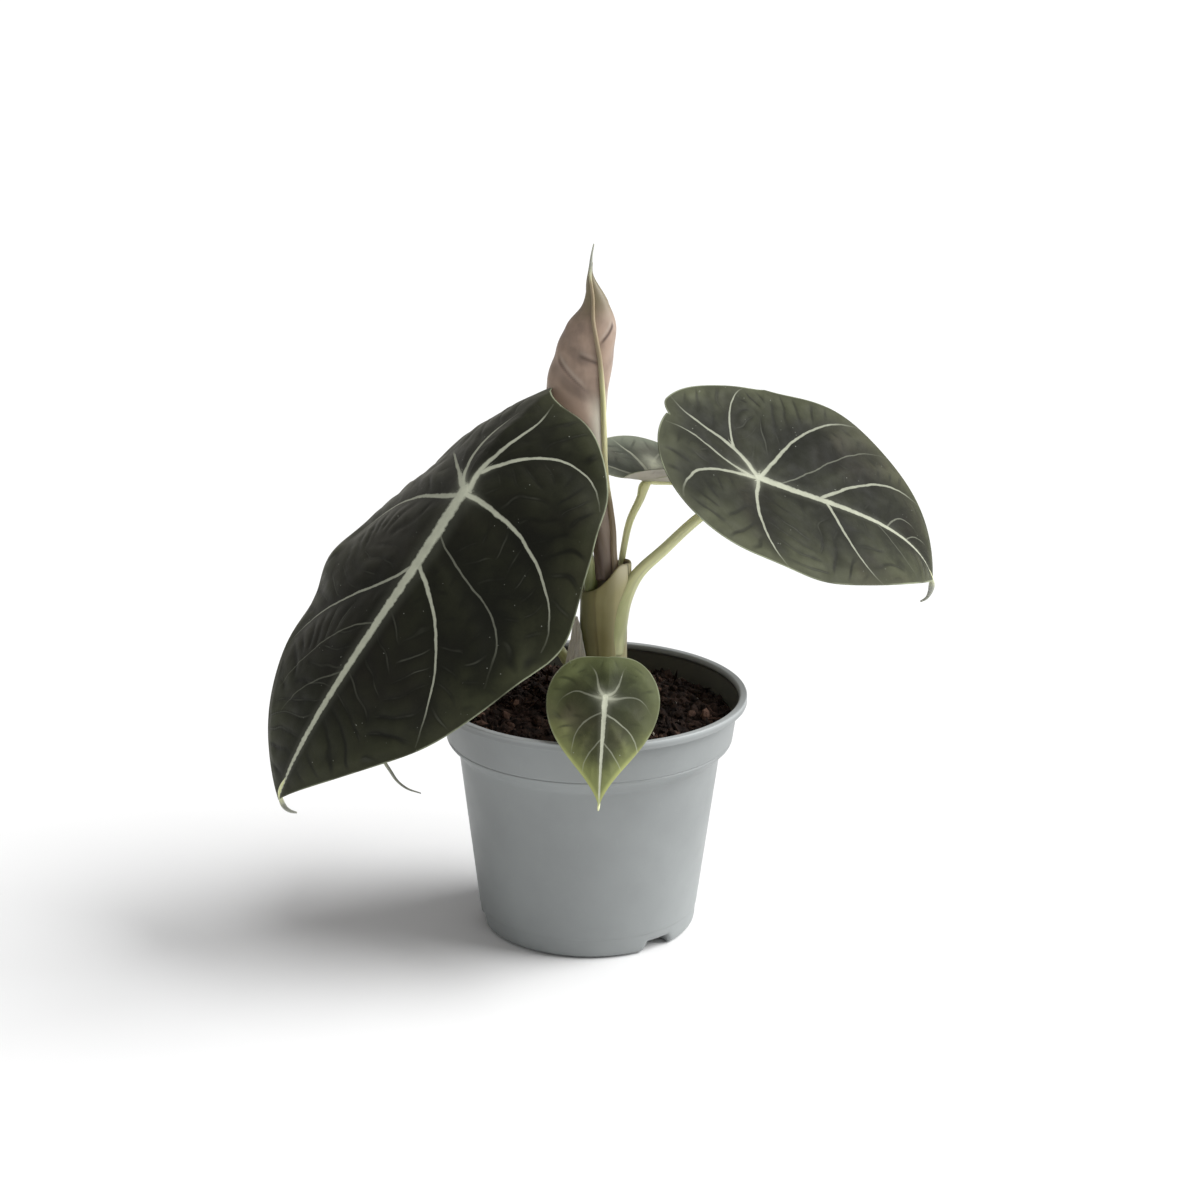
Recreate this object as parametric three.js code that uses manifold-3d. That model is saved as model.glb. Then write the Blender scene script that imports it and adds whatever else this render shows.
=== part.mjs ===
// A black velvet alocasia in its plain grower's pot, in millimetres, +Z up.
// The origin is the middle of the pot's foot, on the surface that it stands on. The largest leaf
// hangs towards -X, the second leaf towards +X, and the smallest leaf over the rim at -Y.
import * as THREE from "three";
import { mergeVertices } from "three/addons/utils/BufferGeometryUtils.js";
import Module from "manifold-3d";

const wasm = await Module();
wasm.setup();

// ---- Driving dimensions -------------------------------------------------------------------

const SEAT = 0.3; // air between pieces that touch
const BLADE = 0.8; // thickness of a leaf blade
const TURN_STEPS = 48; // facets round the pot
const TUBE = { sides: 7, steps: 30 };

const POT = {
  height: 93.5,
  wall: 1.4,
  lip: { radius: 60, height: 3 },
  edge: 0.4, // small bevel on the lip's edges
  mouthRadius: 57.4,
  band: { topRadius: 56.7, footRadius: 54.9, foot: 77 },
  body: { topRadius: 50.1, top: 70.5, footRadius: 41.8, foot: 6 },
  footRound: 4.2, // how far the foot's edge is rounded in
  floor: 2,
};
// Channels under the floor, with a drain hole in the roof of each.
const DRAIN = {
  count: 3, firstAzimuth: -49, width: 11, height: 4, roof: 1.6, start: 15.4, hole: 7, holeAt: 27,
};

const SOIL = {
  level: 85, rings: 11, around: 44, lumps: 90, lumpSize: [3.5, 7], lumpHeight: 2.2, edgeDip: 1.5,
};

// Pseudostem: [height, middle x, half width along x, half width along y].
const STEM = [
  [62, 4.0, 5.0, 5.0],
  [64, 4.2, 8.5, 8.5],
  [70, 4.6, 11.5, 11.5],
  [78, 4.9, 11.5, 11.0],
  [87, 4.9, 10.2, 9.8],
  [98, 4.9, 9.3, 8.8],
  [110, 4.9, 8.9, 8.4],
  [122, 4.8, 9.0, 8.2],
  [131, 5.0, 9.1, 8.0],
];
const STEM_MOUTH = {
  height: 139.5, tilt: 5.5, highSide: 20, middle: 6.2, halfWidth: 8.9, halfDepth: 7.4, rim: 1.1, dish: 3.5,
};
const STEM_SIDES = 28;

// A leaf's blade is laid out flat with its hub, where the petiole joins, at the origin and its
// midrib along x, tip at +front and notch at -notch. Its left half is on the left of a traveller
// from hub to tip. The bends are degrees per 100 mm; "growing" ones rise evenly from nothing.
const HALF = {
  lobe: 28, // how far the rear lobe reaches behind the hub
  width: 31, // half width at the widest place
  widest: 6, // where that is, ahead of the hub
  shoulder: 11, // how far out the rearmost point of the lobe lies
  belly: 0.5, // share of the way to the tip over which the margin stays full
  taper: 0.2, // share of the way over which the tip is drawn out
  tipWidth: 0.22, // fullness of that drawn-out stretch
  fold: 8, // droop of the half at the midrib, in degrees
  foldSlope: 0, // its change along the midrib
  curl: 15, // downward bend across the half
  curlRear: 5, // what is added towards the lobe
  curlFront: 0, // what is added towards the tip
  wave: { rise: 1, length: 60, phase: 0 },
  ripple: { rise: 0, phase: 0 },
};
const LEAVES = {
  left_leaf: {
    hub: [-46.5, -30, 181], heading: -140.7, pitch: 49.9, roll: -5.4, front: 142.3, notch: 47.5,
    arch: [-5, 36], rearArch: [49, 12], sweep: [-9, -17], rearSweep: -3, twist: -8,
    left: {
      lobe: 48.1, width: 61.8, widest: 29.9, shoulder: 15.4, belly: 0.364, taper: 0.236, tipWidth: 0.207,
      fold: 17.6, foldSlope: 0.6, curl: 19, curlRear: 8, curlFront: -2,
      wave: { rise: -3.5, length: 60.2, phase: -82 }, ripple: { rise: 0.57, phase: -97 },
    },
    right: {
      lobe: 50.7, width: 61.8, widest: 18.9, shoulder: 23.6, belly: 0.535, taper: 0.07, tipWidth: 0.282,
      fold: 10, foldSlope: -10.3, curl: 45, curlRear: 48, curlFront: 29,
      wave: { rise: 4.1, length: 79.6, phase: -91 }, ripple: { rise: 1.14, phase: -9 },
    },
    laterals: 8, rows: 9,
    petiole: [
      [0.2, -1.2, 120], [0, -1.4, 130], [-0.2, -1.6, 139], [-2.1, -2.6, 149], [-9, -7, 158], [-25, -17, 168],
    ],
    radii: [2.7, 2.1, 1.7, 0.5],
    tail: [[-113.3, -42, 61.6], [-112, -43.5, 60.8], [-110.2, -44, 60], [-108.2, -44.4, 59.8]],
  },
  right_leaf: {
    hub: [62.7, 10, 175.6], heading: 11.1, pitch: 24.5, roll: 25.3, front: 95, notch: 42.5,
    arch: [-28, 81], rearArch: [-49, 29], sweep: [16, -6], rearSweep: 56, twist: 3.4,
    left: {
      lobe: 47.5, width: 48.1, widest: 16.6, shoulder: 5.4, belly: 0.557, taper: -0.034, tipWidth: 0.239,
      fold: -12.3, foldSlope: -0.6, curl: 5, curlRear: 31.5, curlFront: 20,
      wave: { rise: 1.3, length: 62.8, phase: -106 },
    },
    right: {
      lobe: 43.5, width: 45.1, widest: 2.4, shoulder: 1, belly: 0.488, taper: 0.117, tipWidth: 0.256,
      fold: 2.7, foldSlope: 2.9, curl: 2.3, curlRear: 8, curlFront: 9.2,
      wave: { rise: 1.25, length: 65, phase: 84 }, ripple: { rise: 0.3, phase: -12 },
    },
    laterals: 7, rows: 8,
    petiole: [
      [10.2, 0, 114], [10.8, 0, 124], [13, 0.4, 133], [18.5, 1, 141.5], [28, 2.3, 150.3], [40, 4, 161],
      [51, 7, 168.3],
    ],
    radii: [2.6, 1.9, 1.4, 0.5],
    tail: [[133.2, 40.6, 123.6], [132.7, 41, 121], [131.5, 41.3, 118.5], [129.2, 41.6, 116.9]],
  },
  back_leaf: {
    hub: [20, 15, 173.4], heading: 30, pitch: 8, roll: 0, front: 56, notch: 9,
    arch: [11, 34], rearArch: [0, 0], sweep: [0, 0], rearSweep: 0, twist: 0,
    left: {
      lobe: 21, width: 29, widest: 4, shoulder: 10, fold: -24, foldSlope: 6, curl: 6, curlRear: 8,
      wave: { rise: 0.6, length: 40, phase: 17 },
    },
    right: {
      lobe: 11, width: 19, widest: 5, shoulder: 5, fold: -27, foldSlope: 34, curl: 28, curlRear: 8,
      wave: { rise: 0.6, length: 40, phase: 80 },
    },
    laterals: 5, rows: 6,
    petiole: [[11, 5, 132], [11.2, 5, 140], [11.6, 5.2, 148], [12.7, 6.6, 156], [15.4, 9.8, 164]],
    radii: [1.5, 1.6, 1.1, 0.45],
    tail: [[69, 42.5, 154.6], [70.6, 43.4, 152], [71.2, 43.8, 149]],
  },
  lower_leaf: {
    hub: [-33, 27, 131], heading: 190, pitch: 34, roll: 0, front: 86, notch: 27,
    arch: [30, 19], rearArch: [17, 11], sweep: [0, 0], rearSweep: 0, twist: 0,
    left: {
      lobe: 29, width: 31, widest: 8, shoulder: 13, fold: 3, curl: 14,
      wave: { rise: 1.2, length: 60, phase: 17 },
    },
    right: {
      lobe: 29, width: 32, widest: 8, shoulder: 13, fold: 6, curl: 20,
      wave: { rise: 1.2, length: 55, phase: 80 },
    },
    laterals: 5, rows: 6,
    petiole: [[-1, 2, 92], [-5.5, 5, 98], [-12, 11.5, 106], [-20, 19.5, 115]],
    radii: [2.3, 1.7, 1.2, 0.45],
    tail: [[-77.6, 19, 51.4], [-75.4, 19, 48], [-71.6, 18.6, 45], [-66, 18, 43.2]],
  },
  front_leaf: {
    hub: [5.8, -50, 108.7], heading: -95, pitch: 45, roll: -6.9, front: 42.3, notch: 15.3,
    arch: [12, 11], rearArch: [14, 9], sweep: [3, 3], rearSweep: -2, twist: 0,
    left: {
      lobe: 17.4, width: 20.7, widest: -0.9, shoulder: 7.2, belly: 0.434, taper: 0.323, tipWidth: 0.191,
      fold: 9.5, curl: 23, curlRear: 1, wave: { rise: 0.6, length: 40, phase: -7 },
    },
    right: {
      lobe: 16.6, width: 21.8, widest: 0.5, shoulder: 7.8, belly: 0.47, taper: 0.328, tipWidth: 0.195,
      fold: 9, curl: 20.5, curlRear: 1, wave: { rise: 0, length: 40, phase: 0 },
    },
    laterals: 4, rows: 5,
    petiole: [[5.6, -4.5, 92], [5.8, -10, 96], [6, -20, 101.5], [6, -32, 105], [6, -42, 105.6]],
    radii: [1.8, 1.2, 0.8, 0.4],
    tail: [[3.7, -77.6, 74.4], [3.6, -77.6, 73.4]],
  },
};
const PUFF = 0.7; // how far the blade stands up between its side veins
const VEIN_COLUMNS = 4; // columns of the blade's grid from one side vein to the next
const HUB_SHARE = 1.1; // how far round the margin, from 0 to 3, the columns still start at the hub
const MIDRIB_STEPS = 24; // short straights that a bent midrib is summed from
const RIB_STOPS = 9; // places where the midrib under a blade is worked out
const FACET_SPARE = 0.25; // room for the flat facets of a bent blade

// The new leaf is still rolled up, underside out. Each station: height, middle x and y of the roll,
// its half width and half depth, half of the angle that it wraps, and the midrib's azimuth.
const ROLL = [
  [141.5, 5.2, -1.6, 2.1, 2.0, 95, -30],
  [158.7, 4.3, -1.0, 3.2, 3.0, 130, -35],
  [176.7, 0.0, 1.5, 5.2, 4.4, 160, -27],
  [194.4, -4.5, 5.0, 9.2, 6.2, 190, -28],
  [209.2, -5.5, 8.0, 11.5, 7.2, 203, -42],
  [222.7, -3.0, 10.0, 11.0, 6.8, 196, -64],
  [232.9, -0.2, 11.5, 9.1, 5.6, 172, -87],
  [241.0, 1.1, 12.3, 4.8, 3.4, 125, -105],
  [251.0, -1.2, 13.0, 1.1, 1.0, 75, -100],
];
const ROLL_SPIRAL = 0.16; // how much one margin lies outside the other, as a share of the radius
const ROLL_GRID = { across: 18, along: 18 };
// Its petiole lies along the roll from the share `from` to `to` of the roll's height.
const NEW_RIB_STOPS = 12;
const NEW_PETIOLE = {
  base: [[8.6, -2.6, 133], [9.2, -2.8, 140]],
  radii: [1.5, 1.4, 1.3, 0.45],
  neckAt: 0.35,
  from: 0.06,
  to: 0.985,
  tail: [[-1.4, 12.4, 254.4], [-1, 12.8, 258], [-0.2, 13.2, 261]],
};

// The papery sheath at the foot of the lower leaf clasps the pseudostem's left front.
const SHEATH = {
  foot: 89, top: 124, shortest: 6, from: 165, to: 226, flare: 3.4, thickness: 0.7, across: 8, along: 8,
};

const COLOURS = {
  pot: 0x8e9799,
  soil: 0x2a211c,
  blade: 0x33362b,
  young: 0x4c5136,
  pale: 0xa9ad78,
  stem: 0x8b8a55,
  mauve: 0x8a7570,
  papery: 0xc2b79c,
};

// ---- Helpers ------------------------------------------------------------------------------

const DEG = Math.PI / 180;
const PER_100 = DEG / 100; // degrees per 100 mm, as radians per mm
const vec = (p) => new THREE.Vector3(...p);
const clamp = THREE.MathUtils.clamp;
const lerp = THREE.MathUtils.lerp;
const round2 = (x) => Math.round(x * 100) / 100;

/** A repeatable random number from 0 to 1 for each call. */
function seededRandom(seed) {
  let state = seed;
  return () => {
    state = (state * 1664525 + 1013904223) % 4294967296;
    return state / 4294967296;
  };
}

function geometryOf(points, index) {
  const geometry = new THREE.BufferGeometry();
  const numbers = points.flatMap((p) => p.toArray());
  geometry.setAttribute("position", new THREE.Float32BufferAttribute(numbers, 3));
  geometry.setIndex(index);
  geometry.computeVertexNormals();
  return geometry;
}

/** A closed body through rings of equal count, each turning anticlockwise seen from the last ring. */
function loft(rings) {
  const sides = rings[0].length;
  const points = rings.flat();
  const index = [];
  const middle = (ring) => ring.reduce((sum, p) => sum.add(p), new THREE.Vector3()).divideScalar(sides);
  const first = points.push(middle(rings[0])) - 1;
  const last = points.push(middle(rings.at(-1))) - 1;
  const top = (rings.length - 1) * sides;
  for (let side = 0; side < sides; side++) {
    const next = (side + 1) % sides;
    index.push(first, next, side, last, top + side, top + next);
    for (let low = 0; low < top; low += sides) {
      const high = low + sides;
      index.push(low + side, low + next, high + next, low + side, high + next, high + side);
    }
  }
  return geometryOf(points, index);
}

/** A closed body from a surface: the same triangles on both faces, and a strip along each border. */
function thicken({ points, normals, triangles }, thickness) {
  const count = points.length;
  const face = (side) => points.map((p, i) => p.clone().addScaledVector(normals[i], (side * thickness) / 2));
  const index = [];
  const border = new Map();
  for (const [a, b, c] of triangles) {
    index.push(a, b, c, count + a, count + c, count + b);
    for (const [p, q] of [[a, b], [b, c], [c, a]]) {
      if (!border.delete(`${q},${p}`)) border.set(`${p},${q}`, [p, q]);
    }
  }
  for (const [p, q] of border.values()) index.push(q, p, count + p, q, count + p, count + q);
  return geometryOf([...face(1), ...face(-1)], index);
}

/** An indexed surface from a grid of points, rows by columns, with normals from its neighbours. */
function gridSurface(rows) {
  const [height, width] = [rows.length, rows[0].length];
  const at = (i, j) => rows[clamp(i, 0, height - 1)][clamp(j, 0, width - 1)];
  const normals = [];
  const triangles = [];
  for (let i = 0; i < height; i++) {
    for (let j = 0; j < width; j++) {
      const along = at(i, j + 1).clone().sub(at(i, j - 1));
      const up = at(i + 1, j).clone().sub(at(i - 1, j));
      normals.push(along.cross(up).normalize());
      const corner = i * width + j;
      if (i < height - 1 && j < width - 1) {
        const across = corner + width + 1;
        triangles.push([corner, corner + 1, across], [corner, across, corner + width]);
      }
    }
  }
  return { points: rows.flat(), normals, triangles };
}

/** A round tube with flat ends through the stops, each [point, radius], and fatter by `spare`. */
function taperedTube(stops, spare = 0) {
  const { sides, steps } = TUBE;
  const curve = new THREE.CatmullRomCurve3(stops.map(([point]) => point), false, "centripetal");
  const radii = new THREE.SplineCurve(stops.map(([, radius], i) => new THREE.Vector2(i, radius)));
  const frames = curve.computeFrenetFrames(steps, false);
  const rings = [];
  for (let step = 0; step <= steps; step++) {
    const middle = curve.getPointAt(step / steps);
    if (step === 0) middle.addScaledVector(curve.getTangentAt(0), -spare);
    const radius = radii.getPoint(curve.getUtoTmapping(step / steps)).y + spare;
    const ring = [];
    for (let side = 0; side < sides; side++) {
      const turn = (2 * Math.PI * side) / sides;
      ring.push(
        middle
          .clone()
          .addScaledVector(frames.normals[step], radius * Math.cos(turn))
          .addScaledVector(frames.binormals[step], radius * Math.sin(turn)),
      );
    }
    rings.push(ring);
  }
  return loft(rings);
}

function solidOf(geometry) {
  const bare = geometry.clone();
  bare.deleteAttribute("normal");
  bare.deleteAttribute("uv");
  const merged = mergeVertices(bare, 1e-4);
  return new wasm.Manifold(
    new wasm.Mesh({
      numProp: 3,
      vertProperties: new Float32Array(merged.attributes.position.array),
      triVerts: new Uint32Array(merged.index.array),
    }),
  );
}

function geometryFrom(solid) {
  const { vertProperties, triVerts } = solid.getMesh();
  const geometry = new THREE.BufferGeometry();
  geometry.setAttribute("position", new THREE.BufferAttribute(vertProperties, 3));
  geometry.setIndex(new THREE.BufferAttribute(triVerts, 1));
  geometry.computeVertexNormals();
  return geometry;
}

function mesh(name, geometry, color, roughness) {
  const material = new THREE.MeshStandardMaterial({ color, roughness, metalness: 0 });
  const piece = new THREE.Mesh(geometry, material);
  piece.name = name;
  return piece;
}

// ---- Pot and soil -------------------------------------------------------------------------

/** The pot's foot edge: a quarter of an ellipse from the flat underside to the wall. */
function footArc() {
  const { body, footRound } = POT;
  return Array.from({ length: 5 }, (_, i) => {
    const turn = (i / 4) * (Math.PI / 2);
    return [body.footRadius - footRound * (1 - Math.sin(turn)), body.foot * (1 - Math.cos(turn))];
  });
}

/** The shoulder: a smooth step from the top of the body out to the foot of the band. */
function shoulderCurve() {
  const { band, body } = POT;
  const rise = (band.foot - body.top) / 2;
  const curve = new THREE.CubicBezierCurve(
    new THREE.Vector2(body.topRadius, body.top),
    new THREE.Vector2(body.topRadius + 0.2, body.top + rise),
    new THREE.Vector2(band.footRadius - 0.6, band.foot - rise),
    new THREE.Vector2(band.footRadius, band.foot),
  );
  return curve.getPoints(4).map((p) => p.toArray());
}

/** Outer outline of the pot from the axis at the foot to the lip. */
function potOutside() {
  const { lip, band, height, edge } = POT;
  const lipFoot = height - lip.height;
  return [
    [0, 0], ...footArc(), ...shoulderCurve(), [band.topRadius, lipFoot - edge / 2],
    [lip.radius - edge, lipFoot], [lip.radius, lipFoot + edge],
    [lip.radius, height - edge], [lip.radius - edge, height],
  ];
}

/** Inner outline from the mouth down to the floor at the axis, drawn in by `spare`. */
function potInside(spare = 0) {
  const { band, body, height, wall, mouthRadius, floor, edge } = POT;
  const gap = wall + spare;
  return [
    [mouthRadius - edge - spare, height - 3 * edge], [band.footRadius - gap, band.foot - wall / 2],
    [body.topRadius - gap, body.top], [body.footRadius - gap, body.foot],
    [body.footRadius - gap - floor, floor + spare], [0, floor + spare],
  ];
}

/** LatheGeometry turns about Y, so its result is stood up along Z. */
function turned(outline) {
  const profile = outline.map((p) => new THREE.Vector2(...p));
  return new THREE.LatheGeometry(profile, TURN_STEPS).rotateX(Math.PI / 2);
}

const drainAzimuths = Array.from(
  { length: DRAIN.count },
  (_, i) => (DRAIN.firstAzimuth + (i * 360) / DRAIN.count) * DEG,
);
const RIDGE_TOP = DRAIN.height + DRAIN.roof;
const RIDGE_WIDTH = DRAIN.width + 2 * POT.wall;

/** A bar that runs outwards from the axis at each drain's azimuth. */
function drainBars(inner, outer, width, low, high) {
  return drainAzimuths.map((azimuth) => {
    const bar = new THREE.BoxGeometry(outer - inner, width, high - low);
    bar.translate((inner + outer) / 2, 0, (low + high) / 2);
    return solidOf(bar.rotateZ(azimuth));
  });
}

function drainHoles() {
  const [radius, length, sides] = [DRAIN.hole / 2, 2 * RIDGE_TOP, 16];
  return drainAzimuths.map((azimuth) => {
    const hole = new THREE.CylinderGeometry(radius, radius, length, sides).rotateX(Math.PI / 2);
    return solidOf(hole.translate(DRAIN.holeAt * Math.cos(azimuth), DRAIN.holeAt * Math.sin(azimuth), 0));
  });
}

function buildPot() {
  const { lip, height, mouthRadius, body, edge, wall, footRound } = POT;
  const rim = [[mouthRadius + edge, height], [mouthRadius, height - edge]];
  let pot = solidOf(turned([...potOutside(), ...rim, ...potInside()]));
  const ridgeEnd = body.footRadius - footRound / 2;
  const ridges = drainBars(DRAIN.start - wall, ridgeEnd, RIDGE_WIDTH, 1, RIDGE_TOP);
  const channels = drainBars(DRAIN.start, lip.radius, DRAIN.width, -1, DRAIN.height);
  for (const ridge of ridges) pot = pot.add(ridge);
  for (const cut of [...channels, ...drainHoles()]) pot = pot.subtract(cut);
  return mesh("pot", geometryFrom(pot), COLOURS.pot, 0.55);
}

/** The soil's surface: round lumps of seeded size and place on a level that dips towards the wall. */
function soilHeight() {
  const random = seededRandom(7);
  const reach = POT.band.footRadius - POT.wall;
  const lumps = Array.from({ length: SOIL.lumps }, () => {
    const away = reach * Math.sqrt(random());
    const turn = 2 * Math.PI * random();
    const size = lerp(...SOIL.lumpSize, random());
    return [away * Math.cos(turn), away * Math.sin(turn), size, SOIL.lumpHeight * random()];
  });
  return (x, y) => {
    const edge = Math.hypot(x, y) / reach;
    let height = SOIL.level - SOIL.edgeDip * edge ** 4;
    for (const [cx, cy, size, rise] of lumps) {
      const near = 1 - ((x - cx) ** 2 + (y - cy) ** 2) / size ** 2;
      if (near > 0) height += rise * near * near;
    }
    return height;
  };
}

function buildSoil(stemHole) {
  const height = soilHeight();
  const [mouth, bandFoot, bodyTop, bodyFoot, floorEdge] = potInside(SEAT);
  const slope = (mouth[0] - bandFoot[0]) / (mouth[1] - bandFoot[1]);
  const topRadius = bandFoot[0] + slope * (SOIL.level - SOIL.edgeDip - bandFoot[1]);
  const circle = (radius, z) =>
    Array.from({ length: SOIL.around }, (_, i) => {
      const turn = (2 * Math.PI * i) / SOIL.around;
      const [x, y] = [radius * Math.cos(turn), radius * Math.sin(turn)];
      return new THREE.Vector3(x, y, z ?? height(x, y));
    });
  const sunk = (radius) => radius * Math.cos(Math.PI / SOIL.around);
  const rings = [floorEdge, bodyFoot, bodyTop, bandFoot].map(([radius, z]) => circle(sunk(radius), z));
  const surface = sunk(topRadius - 2 * SEAT) / SOIL.rings;
  for (let ring = SOIL.rings; ring > 0; ring--) rings.push(circle(surface * ring));
  let soil = solidOf(loft(rings)).subtract(stemHole);
  const inner = DRAIN.start - POT.wall - SEAT;
  const ridges = drainBars(inner, POT.body.footRadius, RIDGE_WIDTH + 2 * SEAT, 0, RIDGE_TOP + SEAT);
  for (const ridge of ridges) soil = soil.subtract(ridge);
  return mesh("soil", geometryFrom(soil), COLOURS.soil, 0.95);
}

// ---- Leaf blades --------------------------------------------------------------------------

const rearReach = (leaf) => Math.max(leaf.left.lobe, leaf.right.lobe, leaf.notch) + 4;

/** Pitch and yaw of the midrib at x along it, in radians. */
function midribAngles(leaf, x) {
  const ahead = Math.max(x, 0);
  const behind = Math.max(-x, 0);
  const pitch =
    leaf.rearArch[0] * behind + (leaf.rearArch[1] * behind ** 2) / rearReach(leaf) -
    leaf.arch[0] * ahead - (leaf.arch[1] * ahead ** 2) / leaf.front;
  const yaw = leaf.sweep[0] * ahead + (leaf.sweep[1] * ahead ** 2) / leaf.front - leaf.rearSweep * behind;
  return [pitch * PER_100, yaw * PER_100];
}

const headingOf = ([pitch, yaw]) =>
  new THREE.Vector3(Math.cos(pitch) * Math.cos(yaw), Math.cos(pitch) * Math.sin(yaw), Math.sin(pitch));

/** The midrib's place at x, summed along it from the hub. */
function midribPoint(leaf, x) {
  const steps = MIDRIB_STEPS;
  const place = new THREE.Vector3();
  for (let step = 0; step < steps; step++) {
    place.addScaledVector(headingOf(midribAngles(leaf, (x * (step + 0.5)) / steps)), x / steps);
  }
  return place;
}

/** The midrib's own axes at x: along it, to its left, and up from the blade. */
function midribAxes(leaf, x) {
  const angles = midribAngles(leaf, x);
  const along = headingOf(angles);
  const left = new THREE.Vector3(-Math.sin(angles[1]), Math.cos(angles[1]), 0);
  left.applyAxisAngle(along, leaf.twist * PER_100 * x);
  return [along, left, along.clone().cross(left)];
}

/** Where the point (x, y) of the flat blade lies on the bent blade, in the part's frame. */
function bladePoint(leaf, x, y) {
  const half = y > 0 ? leaf.left : leaf.right;
  const out = Math.abs(y);
  const rear = clamp(-x / rearReach(leaf), 0, 1);
  const front = Math.max(x, 0) / leaf.front;
  const curl = (half.curl + half.curlRear * rear + half.curlFront * front) * PER_100 || 1e-6;
  const fold = half.fold * DEG + half.foldSlope * PER_100 * x;
  const across = (Math.sin(fold + curl * out) - Math.sin(fold)) / curl;
  const drop = (Math.cos(fold) - Math.cos(fold + curl * out)) / curl;
  const turn = (2 * Math.PI * x) / half.wave.length;
  const wave =
    half.wave.rise * Math.sin(turn + half.wave.phase * DEG) +
    half.ripple.rise * Math.sin(2 * turn + half.ripple.phase * DEG);
  const [, left, up] = midribAxes(leaf, x);
  const place = midribPoint(leaf, x)
    .addScaledVector(left, Math.sign(y) * across)
    .addScaledVector(up, wave * (out / half.width) ** 2 - drop);
  const pose = new THREE.Euler(leaf.roll * DEG, leaf.pitch * DEG, leaf.heading * DEG, "ZYX");
  return place.applyEuler(pose).add(vec(leaf.hub));
}

/** The blade's upward normal at (x, y), from the points beside it. */
function bladeNormal(leaf, x, y) {
  const step = 0.5;
  const along = bladePoint(leaf, x + step, y).sub(bladePoint(leaf, x - step, y));
  const left = bladePoint(leaf, x, y + step).sub(bladePoint(leaf, x, y - step));
  return along.cross(left).normalize();
}

/** The half's margin from notch (0) to tip (3): round the lobe, out to the widest place, to the tip. */
function margin(leaf, half, t) {
  const { lobe, width, widest, shoulder, belly, taper, tipWidth } = half;
  const ahead = leaf.front - widest;
  const round = 0.55; // pull that makes a quarter of an ellipse
  const arcs = [
    [
      [-leaf.notch, 0], [-(leaf.notch + lobe) / 2, 0.12 * shoulder],
      [-lobe, 0.45 * shoulder], [-lobe, shoulder],
    ],
    [
      [-lobe, shoulder], [-lobe, lerp(shoulder, width, round)],
      [lerp(widest, -lobe, round), width], [widest, width],
    ],
    [
      [widest, width], [widest + belly * ahead, width],
      [leaf.front - taper * ahead, tipWidth * width], [leaf.front, 0],
    ],
  ];
  const arc = Math.min(Math.floor(t), 2);
  const ends = arcs[arc].map((p) => new THREE.Vector2(...p));
  return new THREE.CubicBezierCurve(...ends).getPoint(t - arc);
}

/**
 * The blade as one surface. Its columns run from the hub or midrib out to the margin, four to each
 * side vein, and stand up between the veins.
 */
function bladeSurface(leaf) {
  const columns = leaf.laterals * VEIN_COLUMNS;
  const points = [];
  const normals = [];
  const triangles = [];
  const known = new Map();
  const corner = (x, y, puff) => {
    const key = `${round2(x)},${round2(y)}`;
    if (!known.has(key)) {
      const normal = bladeNormal(leaf, x, y);
      known.set(key, points.push(bladePoint(leaf, x, y).addScaledVector(normal, puff)) - 1);
      normals.push(normal);
    }
    return known.get(key);
  };
  for (const [side, half] of [[1, leaf.left], [-1, leaf.right]]) {
    const grid = [];
    for (let column = 0; column <= columns; column++) {
      const t = (3 * column) / columns;
      const rim = margin(leaf, half, t);
      const root = leaf.front * clamp((t - HUB_SHARE) / (3 - HUB_SHARE), 0, 1);
      const between = Math.sin((Math.PI * column) / VEIN_COLUMNS) ** 2;
      grid.push(
        Array.from({ length: leaf.rows + 1 }, (_, row) => {
          const v = row / leaf.rows;
          return corner(lerp(root, rim.x, v), side * rim.y * v, PUFF * between * Math.sin(Math.PI * v));
        }),
      );
    }
    for (let column = 0; column < columns; column++) {
      for (let row = 0; row < leaf.rows; row++) {
        const [a, b] = [grid[column][row], grid[column + 1][row]];
        const [c, d] = [grid[column + 1][row + 1], grid[column][row + 1]];
        for (const triangle of side > 0 ? [[a, b, c], [a, c, d]] : [[a, c, b], [a, d, c]]) {
          if (new Set(triangle).size === 3) triangles.push(triangle);
        }
      }
    }
  }
  return { points, normals, triangles };
}

/** Stops of the midrib under the blade, from the hub to the tip. */
function ribStops(leaf) {
  const [, neck, rib, end] = leaf.radii;
  const roof = Math.cos(Math.max(leaf.left.fold, leaf.right.fold, 0) * DEG);
  return Array.from({ length: RIB_STOPS + 1 }, (_, i) => {
    const share = (i / RIB_STOPS) ** 1.5;
    const x = leaf.front * lerp(0.02, 0.98, share);
    const radius = i === 0 ? neck : lerp(rib, end, share);
    const below = (BLADE / 2 + SEAT + radius + FACET_SPARE) / roof;
    return [bladePoint(leaf, x, 1e-6).addScaledVector(bladeNormal(leaf, x, 0), -below), radius];
  });
}

/** Stops of a petiole that goes on under the blade as its midrib, and past the tip as its tail. */
function petioleStops(leaf) {
  const [foot, neck, , end] = leaf.radii;
  const ribs = ribStops(leaf);
  const hub = ribs[0][0];
  const stops = leaf.petiole.map((p, i) => [vec(p), lerp(foot, neck, i / leaf.petiole.length)]);
  const bend = vec(leaf.petiole.at(-1)).sub(hub).setLength(2.4 * neck);
  stops.push([hub.clone().add(bend).addScaledVector(bladeNormal(leaf, 0, 0), -0.5 * neck), neck]);
  stops.push(...ribs);
  for (const p of leaf.tail) stops.push([vec(p), end * 0.8]);
  return stops;
}

// ---- The rolled new leaf ------------------------------------------------------------------

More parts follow.
